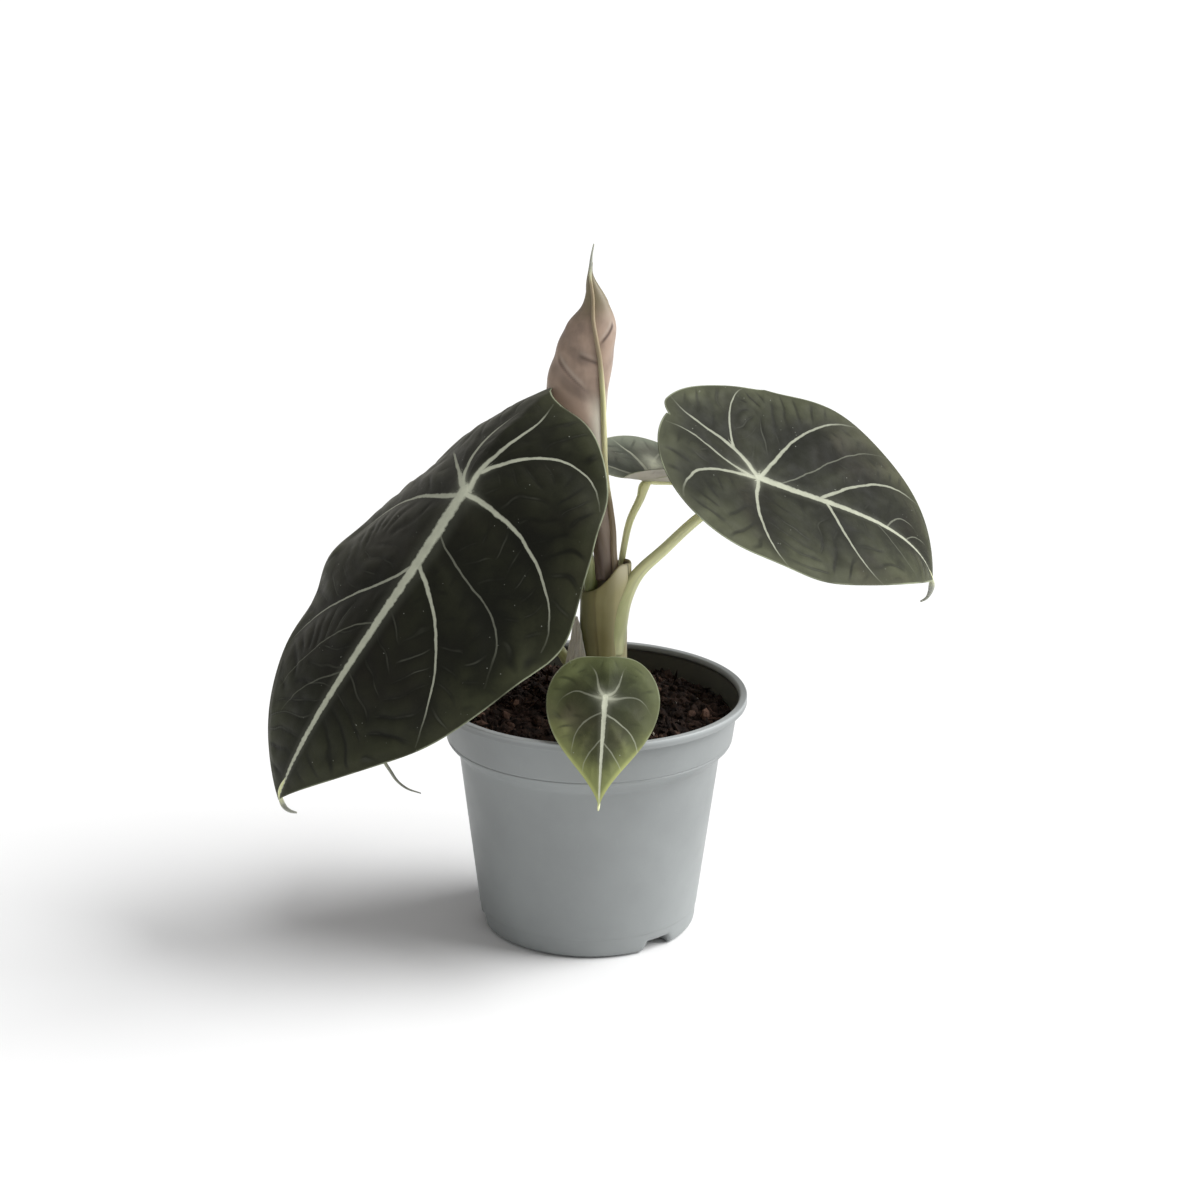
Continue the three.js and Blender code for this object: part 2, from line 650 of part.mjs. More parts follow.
/** The roll's outer face at s across (-1 to 1, midrib at 0) and u along (0 at the foot, 1 at the tip). */
function rollPoint(s, u) {
  const [z, x, y, wide, deep, wrap, azimuth] = ROLL[0].map((_, item) => {
    const track = ROLL.map((row, i) => new THREE.Vector2(i, row[item]));
    return new THREE.SplineCurve(track).getPoint(u).y;
  });
  const turn = (azimuth + s * wrap) * DEG;
  const away = 1 - ROLL_SPIRAL * s * Math.min(1, wrap / 180);
  return new THREE.Vector3(x + wide * away * Math.cos(turn), y + deep * away * Math.sin(turn), z);
}

function buildNewLeafBlade() {
  const rows = Array.from({ length: ROLL_GRID.along + 1 }, (_, i) =>
    Array.from({ length: ROLL_GRID.across + 1 }, (_, j) =>
      rollPoint((2 * j) / ROLL_GRID.across - 1, i / ROLL_GRID.along),
    ),
  );
  return mesh("new_leaf_blade", thicken(gridSurface(rows), BLADE), COLOURS.mauve, 0.6);
}

/** Stops of the new leaf's petiole, which goes on outside the roll as its midrib and ends as its tail. */
function newPetioleStops() {
  const { base, radii, tail, neckAt, from, to } = NEW_PETIOLE;
  const [foot, neck, rib, end] = radii;
  const stops = base.map((p) => [vec(p), foot]);
  for (let step = 0; step <= NEW_RIB_STOPS; step++) {
    const u = lerp(from, to, step / NEW_RIB_STOPS);
    const radius = u < neckAt ? lerp(foot, neck, u / neckAt) : lerp(rib, end, (u - neckAt) / (1 - neckAt));
    const side = rollPoint(0.04, u).sub(rollPoint(-0.04, u));
    const up = rollPoint(0, Math.min(u + 0.01, 1)).sub(rollPoint(0, u - 0.01));
    const out = side.cross(up).setLength(BLADE / 2 + SEAT + FACET_SPARE + radius);
    stops.push([rollPoint(0, u).add(out), radius]);
  }
  for (const p of tail) stops.push([vec(p), end * 0.8]);
  return stops;
}

// ---- Pseudostem and sheath ----------------------------------------------------------------

function stemRing(middle, halfX, halfY, height) {
  return Array.from({ length: STEM_SIDES }, (_, i) => {
    const turn = (2 * Math.PI * i) / STEM_SIDES;
    return new THREE.Vector3(middle + halfX * Math.cos(turn), halfY * Math.sin(turn), height(turn));
  });
}

/** The clasped petiole bases as one body: round rings, then a slanting mouth that is dished inside. */
function stemBody(spare = 0) {
  const { height, tilt, highSide, middle, halfWidth, halfDepth, rim, dish } = STEM_MOUTH;
  const mouth = (sink) => (turn) => height + tilt * Math.cos(turn - highSide * DEG) - sink;
  const rings = STEM.map(([z, x, a, b], i) => {
    const level = i === 0 ? z - spare : z;
    return stemRing(x, a + spare, b + spare, () => level);
  });
  rings.push(stemRing(middle, halfWidth, halfDepth, mouth(0)));
  rings.push(stemRing(middle, halfWidth - rim, halfDepth - rim, mouth(0.2)));
  rings.push(stemRing(middle, halfWidth * 0.6, halfDepth * 0.6, mouth(dish)));
  return loft(rings);
}

function buildStem(pockets) {
  let stem = solidOf(stemBody());
  for (const pocket of pockets) stem = stem.subtract(pocket);
  return mesh("pseudostem", geometryFrom(stem), COLOURS.stem, 0.5);
}

/** Half widths of the pseudostem at a height, between its named rings. */
function stemHalfWidths(z) {
  const above = STEM.findIndex(([height]) => height > z);
  const [low, high] = [STEM[above - 1], STEM[above]];
  const share = (z - low[0]) / (high[0] - low[0]);
  return [1, 2, 3].map((item) => lerp(low[item], high[item], share));
}

/** How high the sheath reaches at the share w of the way round: a rounded point near its right edge. */
function sheathTop(w) {
  const arc = Math.sin(Math.PI * (0.15 + 0.75 * w));
  return lerp(SHEATH.foot + SHEATH.shortest, SHEATH.top, arc ** 0.8);
}

/** A curved sheet round the pseudostem. Its left edge flares away, less so higher up. */
function buildSheath() {
  const rows = Array.from({ length: SHEATH.along + 1 }, (_, i) =>
    Array.from({ length: SHEATH.across + 1 }, (_, j) => {
      const w = j / SHEATH.across;
      const z = lerp(SHEATH.foot, sheathTop(w), i / SHEATH.along);
      const turn = lerp(SHEATH.from, SHEATH.to, w) * DEG;
      const [middle, halfX, halfY] = stemHalfWidths(z);
      const flare = SHEATH.flare * (1 - w) ** 1.5 * (1 - (z - SHEATH.foot) / 60);
      const off = SEAT + SHEATH.thickness / 2 + FACET_SPARE + flare;
      return new THREE.Vector3(middle + (halfX + off) * Math.cos(turn), (halfY + off) * Math.sin(turn), z);
    }),
  );
  return mesh("basal_sheath", thicken(gridSurface(rows), SHEATH.thickness), COLOURS.papery, 0.6);
}

// ---- The plant ----------------------------------------------------------------------------

function completed(leaf) {
  return { ...leaf, left: { ...HALF, ...leaf.left }, right: { ...HALF, ...leaf.right } };
}

function buildPlant() {
  const group = new THREE.Group();
  const pockets = [];
  for (const [name, row] of Object.entries(LEAVES)) {
    const leaf = completed(row);
    const stops = petioleStops(leaf);
    const colour = name === "front_leaf" ? COLOURS.young : COLOURS.blade;
    group.add(mesh(`${name}_blade`, thicken(bladeSurface(leaf), BLADE), colour, 0.75));
    group.add(mesh(`${name}_petiole`, taperedTube(stops), COLOURS.pale, 0.5));
    pockets.push(solidOf(taperedTube(stops, SEAT)));
  }
  const stops = newPetioleStops();
  group.add(buildNewLeafBlade());
  group.add(mesh("new_leaf_petiole", taperedTube(stops), COLOURS.pale, 0.5));
  pockets.push(solidOf(taperedTube(stops, SEAT)));
  group.add(buildStem(pockets));
  group.add(buildSheath());
  group.add(buildSoil(solidOf(stemBody(SEAT))));
  group.add(buildPot());
  return group;
}

export default buildPlant();
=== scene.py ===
import math

import bpy
import numpy as np
from bpy.props import FloatProperty, FloatVectorProperty, IntProperty
from mathutils import Matrix, Vector


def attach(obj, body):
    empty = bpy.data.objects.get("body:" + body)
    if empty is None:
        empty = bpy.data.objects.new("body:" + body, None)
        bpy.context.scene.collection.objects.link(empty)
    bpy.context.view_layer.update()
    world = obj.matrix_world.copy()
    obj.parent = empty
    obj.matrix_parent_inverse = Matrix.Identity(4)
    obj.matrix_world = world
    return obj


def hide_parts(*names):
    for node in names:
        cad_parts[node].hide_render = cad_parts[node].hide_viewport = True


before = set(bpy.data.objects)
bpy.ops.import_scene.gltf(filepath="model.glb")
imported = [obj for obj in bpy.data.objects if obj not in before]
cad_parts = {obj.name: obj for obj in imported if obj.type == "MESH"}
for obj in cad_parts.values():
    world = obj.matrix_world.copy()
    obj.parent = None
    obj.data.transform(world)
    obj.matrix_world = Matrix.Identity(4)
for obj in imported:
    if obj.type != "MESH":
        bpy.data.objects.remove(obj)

bl_info = {
    "name": "Potted Black Velvet Alocasia",
    "version": (1, 0, 0),
    "blender": (4, 5, 0),
    "location": "View3D > Sidebar > Alocasia",
    "description": "A dwarf velvet-leaved aroid in its nursery pot, with a plain studio stage",
    "category": "Add Mesh",
}

# Lengths in the tables below are millimetres, angles are degrees, and bends are degrees per 100 mm.
MM = 0.001
DEG = math.pi / 180
PER_100 = DEG / 100


# ---- Leaves: the same driving dimensions as the solid blades ----


def half(lobe, width, widest, shoulder, **changes):
    """
    One half of a blade: its lobe's reach behind the hub, its width, where along the midrib it is that
    wide, and how far out the lobe's end lies. fold, curl, wave and ripple bend it across. The defaults
    suit the two leaves that are folded or hidden.
    """
    row = {
        "lobe": lobe, "width": width, "widest": widest, "shoulder": shoulder,
        "belly": 0.5, "taper": 0.2, "tip_width": 0.22, "fold": 8, "fold_slope": 0,
        "curl": 15, "curl_rear": 5, "curl_front": 0, "wave": (1, 60, 0), "ripple": (0, 0),
    }
    return {**row, **changes}


# hub is where the petiole meets the midrib, and heading, pitch and roll turn the leaf about it. front
# and notch are the blade's reach ahead of and behind the hub. arch and sweep bend the midrib down and
# aside, each by a steady bend and a growing one. rear_arch and the steady rear_sweep do so behind the
# hub, and twist turns the blade about the midrib. petiole and tail have rows of x, y, z, radius. neck and
# rib are the ridge's radii, and midrib is its pale line's half widths. corner draws out the left and the
# right lobe. glow is a pale patch at the hub, brightened past the veins as painted light shining through
# the blade: x, y, size, strength, and its share off the veins. green is how green the petiole's foot is,
# grid the blade's columns and rows, and spacing the side veins' distance.
LEAVES = {
    "left_leaf": {
        "hub": (-46.5, -30, 181), "heading": -140.7, "pitch": 49.9, "roll": -5.4,
        "front": 142.3, "notch": 52, "arch": (-5, 36), "rear_arch": (49, 12),
        "sweep": (-9, -17), "rear_sweep": -3, "twist": -8,
        "left": half(
            48.1, 61.8, 29.9, 15.4, belly=0.364, taper=0.236, tip_width=0.207, fold=17.6, fold_slope=0.6,
            curl=19, curl_rear=8, curl_front=-2, wave=(-3.5, 60.2, -82), ripple=(0.57, -97),
        ),
        "right": half(
            50.7, 61.8, 18.9, 23.6, belly=0.535, taper=0.07, tip_width=0.282, fold=10, fold_slope=-10.3,
            curl=45, curl_rear=48, curl_front=29, wave=(4.1, 79.6, -91), ripple=(1.14, -9),
        ),
        "petiole": [
            (0.2, -1.2, 120, 2.7), (0, -1.4, 130, 2.6), (-0.2, -1.6, 139, 2.5), (-2.1, -2.6, 149, 2.4),
            (-9, -7, 158, 2.3), (-25, -17, 168, 2.2),
        ],
        "neck": 2.1, "rib": (1.7, 0.8),
        "tail": [
            (-113.3, -42, 61.6, 0.95), (-112, -43.5, 60.8, 0.8), (-110.2, -44, 60, 0.6),
            (-108.2, -44.4, 59.8, 0.35),
        ],
        "midrib": (2.5, 2.2, 1.6, 1.3, 0.95, 0.4), "corner": (0, 6),
        "glow": (-2, 0, 8, 0.35, 0.12), "green": 0.95,
        "grid": (280, 64), "spacing": 8.5, "slot": "velvet_blade",
    },
    "right_leaf": {
        "hub": (62.7, 10, 175.6), "heading": 11.1, "pitch": 24.5, "roll": 25.3,
        "front": 95, "notch": 42.5, "arch": (-28, 81), "rear_arch": (-49, 29),
        "sweep": (16, -6), "rear_sweep": 56, "twist": 3.4,
        "left": half(
            47.5, 48.1, 16.6, 5.4, belly=0.557, taper=-0.034, tip_width=0.239, fold=-12.3,
            fold_slope=-0.6, curl=5, curl_rear=31.5, curl_front=20, wave=(1.3, 62.8, -106),
        ),
        "right": half(
            43.5, 45.1, 2.4, 1, belly=0.488, taper=0.117, tip_width=0.256, fold=2.7, fold_slope=2.9,
            curl=2.3, curl_rear=8, curl_front=9.2, wave=(1.25, 65, 84), ripple=(0.3, -12),
        ),
        "petiole": [
            (8.2, -3.3, 110, 4.4), (9.6, -3.4, 121, 4.3), (11.8, -2.8, 130, 3.6), (17.2, -0.8, 139.8, 2.5),
            (27.4, 1.8, 149.4, 2.15), (40, 4, 161, 2.0), (51, 7, 168.3, 1.95),
        ],
        "neck": 1.9, "rib": (1.4, 0.8),
        "tail": [
            (133.2, 40.6, 123.6, 1.25), (132.7, 41, 121, 0.95), (131.5, 41.3, 118.5, 0.6),
            (129.2, 41.6, 116.9, 0.35),
        ],
        "midrib": (1.75, 1.4, 1.2, 0.9, 0.65, 0.35), "glow": (-3, 0, 7, 0.35, 0.15), "green": 0,
        "grid": (250, 54), "spacing": 7.5, "slot": "sheeny_blade",
    },
    "back_leaf": {
        "hub": (20, 15, 173.4), "heading": 30, "pitch": 8, "roll": 0,
        "front": 56, "notch": 9, "arch": (11, 34), "rear_arch": (0, 0),
        "sweep": (0, 0), "rear_sweep": 0, "twist": 0,
        "left": half(20.5, 27.5, 4, 12, fold=-24, fold_slope=6, curl=6, curl_rear=8, wave=(0.6, 40, 17)),
        "right": half(11, 19, 5, 5, fold=-27, fold_slope=34, curl=28, curl_rear=8, wave=(0.6, 40, 80)),
        "petiole": [
            (11, 5, 132, 1.25), (11.2, 5, 140, 1.25), (12.3, 6, 149, 1.25), (14.5, 9, 158.5, 1.4),
        ],
        "neck": 1.8, "rib": (1.1, 0.5),
        "tail": [(69, 42.5, 154.6, 0.55), (70.6, 43.4, 152, 0.45), (71.2, 43.8, 149, 0.3)],
        "midrib": (1.3, 1.0, 0.8, 0.6, 0.45, 0.3), "glow": (9.5, 9, 5.5, 1.0, 0.9), "green": 0.25,
        "grid": (150, 34), "spacing": 5, "slot": "folded_blade",
    },
    "lower_leaf": {
        "hub": (-33, 27, 131), "heading": 190, "pitch": 34, "roll": 0,
        "front": 86, "notch": 27, "arch": (30, 19), "rear_arch": (17, 11),
        "sweep": (0, 0), "rear_sweep": 0, "twist": 0,
        "left": half(29, 31, 8, 13, fold=3, curl=14, wave=(1.2, 60, 17)),
        "right": half(29, 32, 8, 13, fold=6, curl=20, wave=(1.2, 55, 80)),
        "petiole": [(-1, 2, 92, 2.3), (-5.5, 5, 98, 2.2), (-12, 11.5, 106, 2.0), (-20, 19.5, 115, 1.8)],
        "neck": 1.7, "rib": (1.2, 0.7),
        "tail": [
            (-77.6, 19, 51.4, 0.65), (-75.4, 19, 48, 0.55), (-71.6, 18.6, 45, 0.42), (-66, 18, 43.2, 0.25),
        ],
        "midrib": (1.9, 1.6, 1.3, 1.0, 0.7, 0.3), "glow": (0, 0, 7, 0.6, 0.1), "green": 0.4,
        "grid": (160, 38), "spacing": 6, "slot": "velvet_blade",
    },
    "front_leaf": {
        "hub": (5.8, -50, 108.7), "heading": -95, "pitch": 45, "roll": -6.9,
        "front": 42.3, "notch": 16.4, "arch": (12, 11), "rear_arch": (14, 9),
        "sweep": (3, 3), "rear_sweep": -2, "twist": 0,
        "left": half(
            17.4, 20.7, -0.9, 7.2, belly=0.434, taper=0.323, tip_width=0.191, fold=9.5,
            curl=23, curl_rear=1, wave=(0.6, 40, -7),
        ),
        "right": half(
            16.6, 21.8, 0.5, 7.8, belly=0.47, taper=0.328, tip_width=0.195, fold=9,
            curl=20.5, curl_rear=1, wave=(0, 40, 0),
        ),
        "petiole": [
            (5.6, -4.5, 92, 1.8), (5.8, -10, 96, 1.6), (6, -20, 101.5, 1.4), (6, -32, 105, 1.3),
            (6, -42, 105.6, 1.2),
        ],
        "neck": 1.2, "rib": (0.8, 0.45),
        "tail": [(3.65, -77.3, 75.7, 0.4), (3.65, -77.4, 75.1, 0.22)],
        "midrib": (1.1, 0.85, 0.66, 0.52, 0.4, 0.25), "glow": (0, 0, 4, 0.5, 0.2), "green": 0.4,
        "grid": (160, 40), "spacing": 4, "slot": "young_blade",
    },
}

# Main veins, besides the midrib, as curves on the flat blade: half width at the root, half width at
# the end, paleness, and the curve's four control points (x along the midrib, y to its left).
VEINS = {
    "left_leaf": [
        (1.1, 0.4, 0.85, [(-1, -1), (-11, -12), (-25.5, -9), (-36, -4)]),
        (1.15, 0.25, 0.85, [(-1, 2), (-18.5, 0), (-32.5, 11.5), (-46, 6.5)]),
        (0.9, 0.4, 0.85, [(-1, -2), (-8, -12), (-12, -20), (-17, -30)]),
        (1.1, 0.25, 0.85, [(3, -1), (9, -24), (5, -46.5), (35, -53)]),
        (0.7, 0.25, 0.7, [(34, -1), (55, -16), (69, -43.5), (93, -39.5)]),
        (0.35, 0.2, 0.2, [(58, 0), (68, -19.5), (90, -24), (108, -26)]),
        (0.35, 0.2, 0.15, [(79, 0), (90, -11), (100, -17), (114, -18)]),
        (0.8, 0.25, 0.85, [(-9, 3), (-28.5, 17.5), (-37.5, 34.5), (-19, 49)]),
        (1.05, 0.25, 0.9, [(1, 2), (2, 26.5), (10, 51), (34, 56.5)]),
        (0.8, 0.25, 0.85, [(32, 1), (45.5, 22.5), (61.5, 35), (84.5, 37.5)]),
        (0.35, 0.35, 0.25, [(18, 1), (34.5, 23), (26, 41.5), (54, 49)]),
    ],
    "right_leaf": [
        (1.05, 0.3, 0.85, [(-1, 1), (-14, 15), (-31, 6), (-46, 7.5)]),
        (0.65, 0.3, 0.8, [(-13, 9), (-19.5, 20), (-25, 32), (-17.5, 41)]),
        (0.7, 0.25, 0.7, [(-1, -1), (-20.5, 0), (-29, 5.5), (-41, -4.5)]),
        (0.8, 0.3, 0.9, [(1, 1), (11, 22.5), (22.5, 39.5), (44.5, 42.5)]),
        (0.3, 0.25, 0.3, [(9, 1), (28, 14.5), (36, 29), (58.5, 35.5)]),
        (0.65, 0.3, 0.85, [(27, 1), (42, 14), (59, 24.5), (77.5, 23.5)]),
        (0.35, 0.2, 0.35, [(58, 1), (63, 9.5), (68, 10.5), (75, 9)]),
        (0.3, 0.2, 0.3, [(69, 1), (73, 5), (78, 8), (84, 8)]),
        (0.8, 0.3, 0.8, [(-1, -1), (-21, -5), (-28.5, -19.5), (-25, -33.5)]),
        (0.75, 0.3, 0.9, [(0, -1), (-3, -19.5), (3, -35), (11, -44.5)]),
        (0.65, 0.3, 0.85, [(29, -1), (36, -13.5), (40, -24), (51.5, -32)]),
        (0.3, 0.15, 0.2, [(52, -1), (60, -8), (66, -14), (74, -17)]),
    ],
    "back_leaf": [
        (0.9, 0.25, 0.6, [(-1, 1), (-7, 5), (-12, 8), (-17, 11)]),
        (0.8, 0.25, 0.4, [(4, 2), (9, 12), (15, 20), (26, 24)]),
        (1.0, 0.3, 0.85, [(3, 3), (5, 9), (2, 16), (-3, 26)]),
        (0.9, 0.3, 0.8, [(16, 1), (21, 9), (28, 15), (38, 17)]),
        (0.9, 0.3, 0.8, [(0, -1), (1, -8), (5, -14), (13, -17)]),
        (0.8, 0.3, 0.7, [(15, -1), (20, -6), (27, -10), (36, -12)]),
    ],
    "lower_leaf": [
        (1.0, 0.3, 0.9, [(-1, 1), (-9, 6), (-17, 10), (-24, 12)]),
        (1.0, 0.3, 0.9, [(-1, -1), (-9, -6), (-17, -10), (-24, -12)]),
        (1.0, 0.3, 0.9, [(1, 1), (2, 13), (8, 24), (22, 28)]),
        (1.0, 0.3, 0.9, [(1, -1), (2, -13), (8, -24), (22, -29)]),
        (0.9, 0.3, 0.8, [(22, 1), (30, 11), (40, 18), (56, 20)]),
        (0.9, 0.3, 0.8, [(22, -1), (30, -11), (40, -18), (56, -21)]),
    ],
    "front_leaf": [
        (0.55, 0.2, 0.4, [(-0.5, 0.5), (-3, 6), (-8, 4), (-12.5, 6.5)]),
        (0.55, 0.2, 0.4, [(-0.5, -0.5), (-4.5, -4), (-9, -2.5), (-12.5, -6)]),
        (0.55, 0.2, 0.3, [(0.5, 0.5), (1, 7), (-6, 13), (4, 17)]),
        (0.55, 0.2, 0.3, [(0.5, -0.5), (0, -7), (-6, -12), (3, -17)]),
        (0.35, 0.2, 0.5, [(7, 0.5), (10, 8), (15, 14.5), (26, 13)]),
        (0.35, 0.2, 0.3, [(6, -0.5), (9, -8), (16, -12), (24, -11)]),
        (0.3, 0.2, 0.35, [(18, 0.5), (22, 4), (26, 8), (31, 8)]),
        (0.3, 0.2, 0.3, [(17, -0.5), (21, -4), (26, -7), (31, -6.5)]),
    ],
}

BLADE = {
    "thickness": 0.8,  # as the solid blades
    "rim_thickness": 0.36,
    "rim_zone": 5.0,  # how far in from the margin the blade thins
    "rounding": 0.025,  # last share of the way to the margin, where the two faces round over
    "soft_fold": 1.2,  # radius that rounds the fold at the midrib
    "hub_share": 1.1,  # how far round the margin, from 0 to 3, the grid still starts at the hub
    "corner": (0.45, 0.26),  # the lobe's corner: its place on the margin, and its spread
    "normal_step": 0.4,
    "vein_samples": 120,
    "main_vein": 0.22,  # paleness above which a vein parts the quilting
    "side_lean": (0.4, 0.012),  # side veins lean forward: per mm out, and per mm squared
    "side_shift": 0.37,  # how far one main vein's side veins are shifted from the last one's
    "quilt_reach": 5.5,  # distance from a main vein over which the blade rises
    "groove": (0.2, 1.3),  # over a vein: depth, and reach in the vein's half widths
    "rib": (0.5, 1.1),  # the same under it
}

ROLL = [
    # height, middle x, y, half width, half depth, half wrap, midrib azimuth
    (138.6, 5.0, -1.2, 3.3, 2.9, 112, -30),
    (158.7, 4.2, -0.8, 3.9, 3.4, 135, -35),
    (176.7, 0.0, 1.5, 5.4, 4.4, 160, -27),
    (194.4, -4.4, 5.0, 9.1, 6.2, 190, -28),
    (209.2, -5.1, 8.0, 11.1, 7.2, 203, -42),
    (222.7, -2.6, 10.0, 10.6, 6.8, 196, -64),
    (232.9, -0.2, 11.5, 9.1, 5.6, 172, -87),
    (241.0, 1.1, 12.3, 4.8, 3.4, 125, -105),
    (251.0, -1.2, 12.9, 1.0, 0.9, 75, -100),
    (256.5, -1.1, 12.8, 0.3, 0.3, 60, -100),
]
ROLL_SPIRAL = 0.16  # how much one margin lies outside the other, as a share of the radius
ROLL_GRID = (200, 150)
ROLL_RIDGES = {"height": 0.16, "count": 9, "climb": 0.24}
NEW_CREASES = [
    # from across, along, to across, along, height of the step
    (-0.44, 0.545, -0.17, 0.455, 0.6),
    (-0.2, 0.56, -0.02, 0.535, 0.3),
    (0.04, 0.605, 0.36, 0.69, 0.5),
]
NEW_PETIOLE = {
    "base": [(8.6, -2.6, 133), (9.2, -2.8, 140)],
    "radii": (1.3, 0.85, 1.1, 0.45),  # at the foot and the neck, and at the ridge's two ends
    "tail": [(-1.3, 12.4, 255.2, 0.65), (-1, 12.8, 259, 0.42), (-0.2, 13.2, 263.3, 0.26)],
    "neck_at": 0.3, "from": 0.06, "to": 0.9,  # as shares of the way up the roll's rows
}
PETIOLE_GRID = (220, 20)

STEM = [
    # height, middle x, half width along x, half width along y
    (62, 4.0, 5.0, 5.0), (64, 4.2, 8.5, 8.5), (70, 4.6, 11.5, 11.5), (78, 4.9, 11.5, 11.0),
    (87, 4.9, 10.2, 9.8), (98, 4.9, 9.3, 8.8), (110, 4.9, 8.9, 8.4), (122, 4.8, 9.0, 8.2),
    (131, 5.0, 9.1, 8.0), (139.5, 6.2, 8.9, 7.4),
]
STEM_GRID = (110, 160)
# The mouth slants up by its tilt towards its high side. The flap stands up further at flap_side, and
# cream_side is the middle of its pale part.
STEM_MOUTH = {
    "height": 139.5, "tilt": 5.5, "high_side": 20,
    "flap": 4.5, "flap_side": -62, "flap_spread": 36, "cream_side": -40,
}
STEM_RIM = [
    # drop below the mouth, distance inwards, share of the flap to go down by, shadow, cream
    (0.15, 0.15, 0, 0, 1), (0, 0.5, 0, 0.2, 1), (0.12, 0.9, 0, 0.6, 0.4),
    (1.2, 1.1, 0.1, 1, 0), (2.4, 1.5, 0.8, 1, 0), (4, 4.2, 1, 1, 0),
]
# The clasped sheaths' free edges: azimuth at a height, degrees round for each mm down, and their step.
STEM_EDGE = {"side": -118, "height": 139, "lean": 0.55, "step": 0.55}
STEM_SPLIT = {"side": -22, "height": 143, "lean": 0.9, "step": 0.9}
# The papery sheath's heights, the azimuths of its two edges, and how far the first one flares out.
SHEATH = {"foot": 89, "top": 124, "shortest": 6, "from": 156, "to": 230, "flare": 7.5, "thickness": 0.5}
SHEATH_GRID = (80, 60)

# walls are the heights of the rings below the surface.
SOIL = {"level": 85, "edge_dip": 1.5, "rings": 90, "around": 280, "walls": (9, 20, 40, 60, 70, 76, 80, 83)}
CRUMB = {
    # a lump's rings and its two ends, and how far each point strays
    "heights": (-0.55, 0.1, 0.65), "girths": (0.75, 1.0, 0.65), "ends": (-0.95, 1.0),
    "spread": (0.72, 1.28),
    # its size is the smallest plus growth times a random share to the power of rarity
    "smallest": 0.4, "growth": 1.8, "rarity": 3.2,
    "stretch": (0.6, 1.5), "fibres": 0.12, "fibre_stretch": ([2.2, 0.3, 0.3], [4.5, 0.5, 0.5]),
    "sunk": 0.35, "from_wall": 1.5, "stem_x": 4.9, "from_stem": 11.5,
}
POT = {
    "height": 93.5, "wall": 1.4, "floor": 2, "sides": 288,
    "lip_radius": 60, "lip_height": 3, "mouth_radius": 57.4,
    "band_top": 56.7, "band_foot": (54.9, 77),
    "body_top": (50.1, 70.5), "body_foot": 41.8, "foot_height": 7,
}
DRAIN = {"azimuths": (-49, 71, 191), "width": 11, "height": 4, "start": 15.4, "hole": 7, "hole_at": 27}

FLOOR_REACH = 15.0  # metres from the middle to the floor's edges
CAMERA_TARGET = (0.00345, 0, 0.1296)
SENSOR = 36


# ---- Sizes and colours that a user would change ----


def colour(red, green, blue):
    """Linear colour of a display colour whose channels run from 0 to 255."""
    return tuple(((c / 255 + 0.055) / 1.055) ** 2.4 if c > 10 else c / 3295 for c in (red, green, blue))


def colour_prop(name, description, default):
    return FloatVectorProperty(
        name=name, description=description, subtype="COLOR", size=3, min=0, max=1, default=default
    )


class LeafSettings(bpy.types.PropertyGroup):
    """Looks of the leaf blades."""

    velvet: colour_prop("Velvet", "Upper face of the darkest leaves", colour(43, 45, 29))
    # The sheeny top is the velvet colour painted lighter, as sheen from the key light on that leaf.
    sheeny: colour_prop("Sheeny", "Upper face of the leaf that catches the light", colour(62, 64, 48))
    folded: colour_prop("Folded", "Upper face of the half-folded leaf", colour(104, 110, 96))
    young: colour_prop("Young", "Upper face of the small olive leaf", colour(86, 92, 60))
    vein: colour_prop("Veins", "Pale veins on the upper face", colour(196, 199, 178))
    underside: colour_prop("Underside", "Lower face of the grown blades", colour(112, 98, 92))
    # A paler underside for the folded and the young blades; on the folded blade the paleness is painted
    # backlight shining through the thin leaf.
    young_and_backlit_underside: colour_prop("Young underside", "Lower face of the young blades", colour(184, 179, 166))
    rolled: colour_prop("Rolled leaf", "Mauve underside of the new leaf", colour(154, 133, 117))
    puff: FloatProperty(
        name="Quilting", description="How far a blade stands up between its veins",
        default=0.7 * MM, min=0, max=0.003, unit="LENGTH",
    )
    pleat: FloatProperty(
        name="Pillows", description="How far a blade stands up between its side veins",
        default=0.5 * MM, min=0, max=0.002, unit="LENGTH",
    )


class StemSettings(bpy.types.PropertyGroup):
    """Looks of the petioles, the pseudostem and its papery sheath."""

    petiole: colour_prop("Petiole", "Pale green of the petioles", colour(242, 244, 190))
    stem: colour_prop("Stem", "Clasped petiole bases", colour(212, 205, 154))
    olive: colour_prop("Olive", "Darker olive streaks of the stem", colour(120, 111, 56))
    papery: colour_prop("Papery sheath", "Dry sheath at the foot", colour(246, 242, 222))


class PotSettings(bpy.types.PropertyGroup):
    """Looks of the pot and the soil."""

    plastic: colour_prop("Plastic", "Grey of the nursery pot", colour(146, 150, 150))
    lining: colour_prop("Lining", "Dark inner layer of the pot's wall", colour(86, 86, 78))
    earth: colour_prop("Soil", "Dark potting soil", colour(58, 42, 34))
    crumbs: IntProperty(name="Crumbs", description="Loose crumbs on the soil", default=2000, min=0, max=4000)
    seed: IntProperty(name="Seed", description="Seed of the soil's crumbs", default=7, min=0)


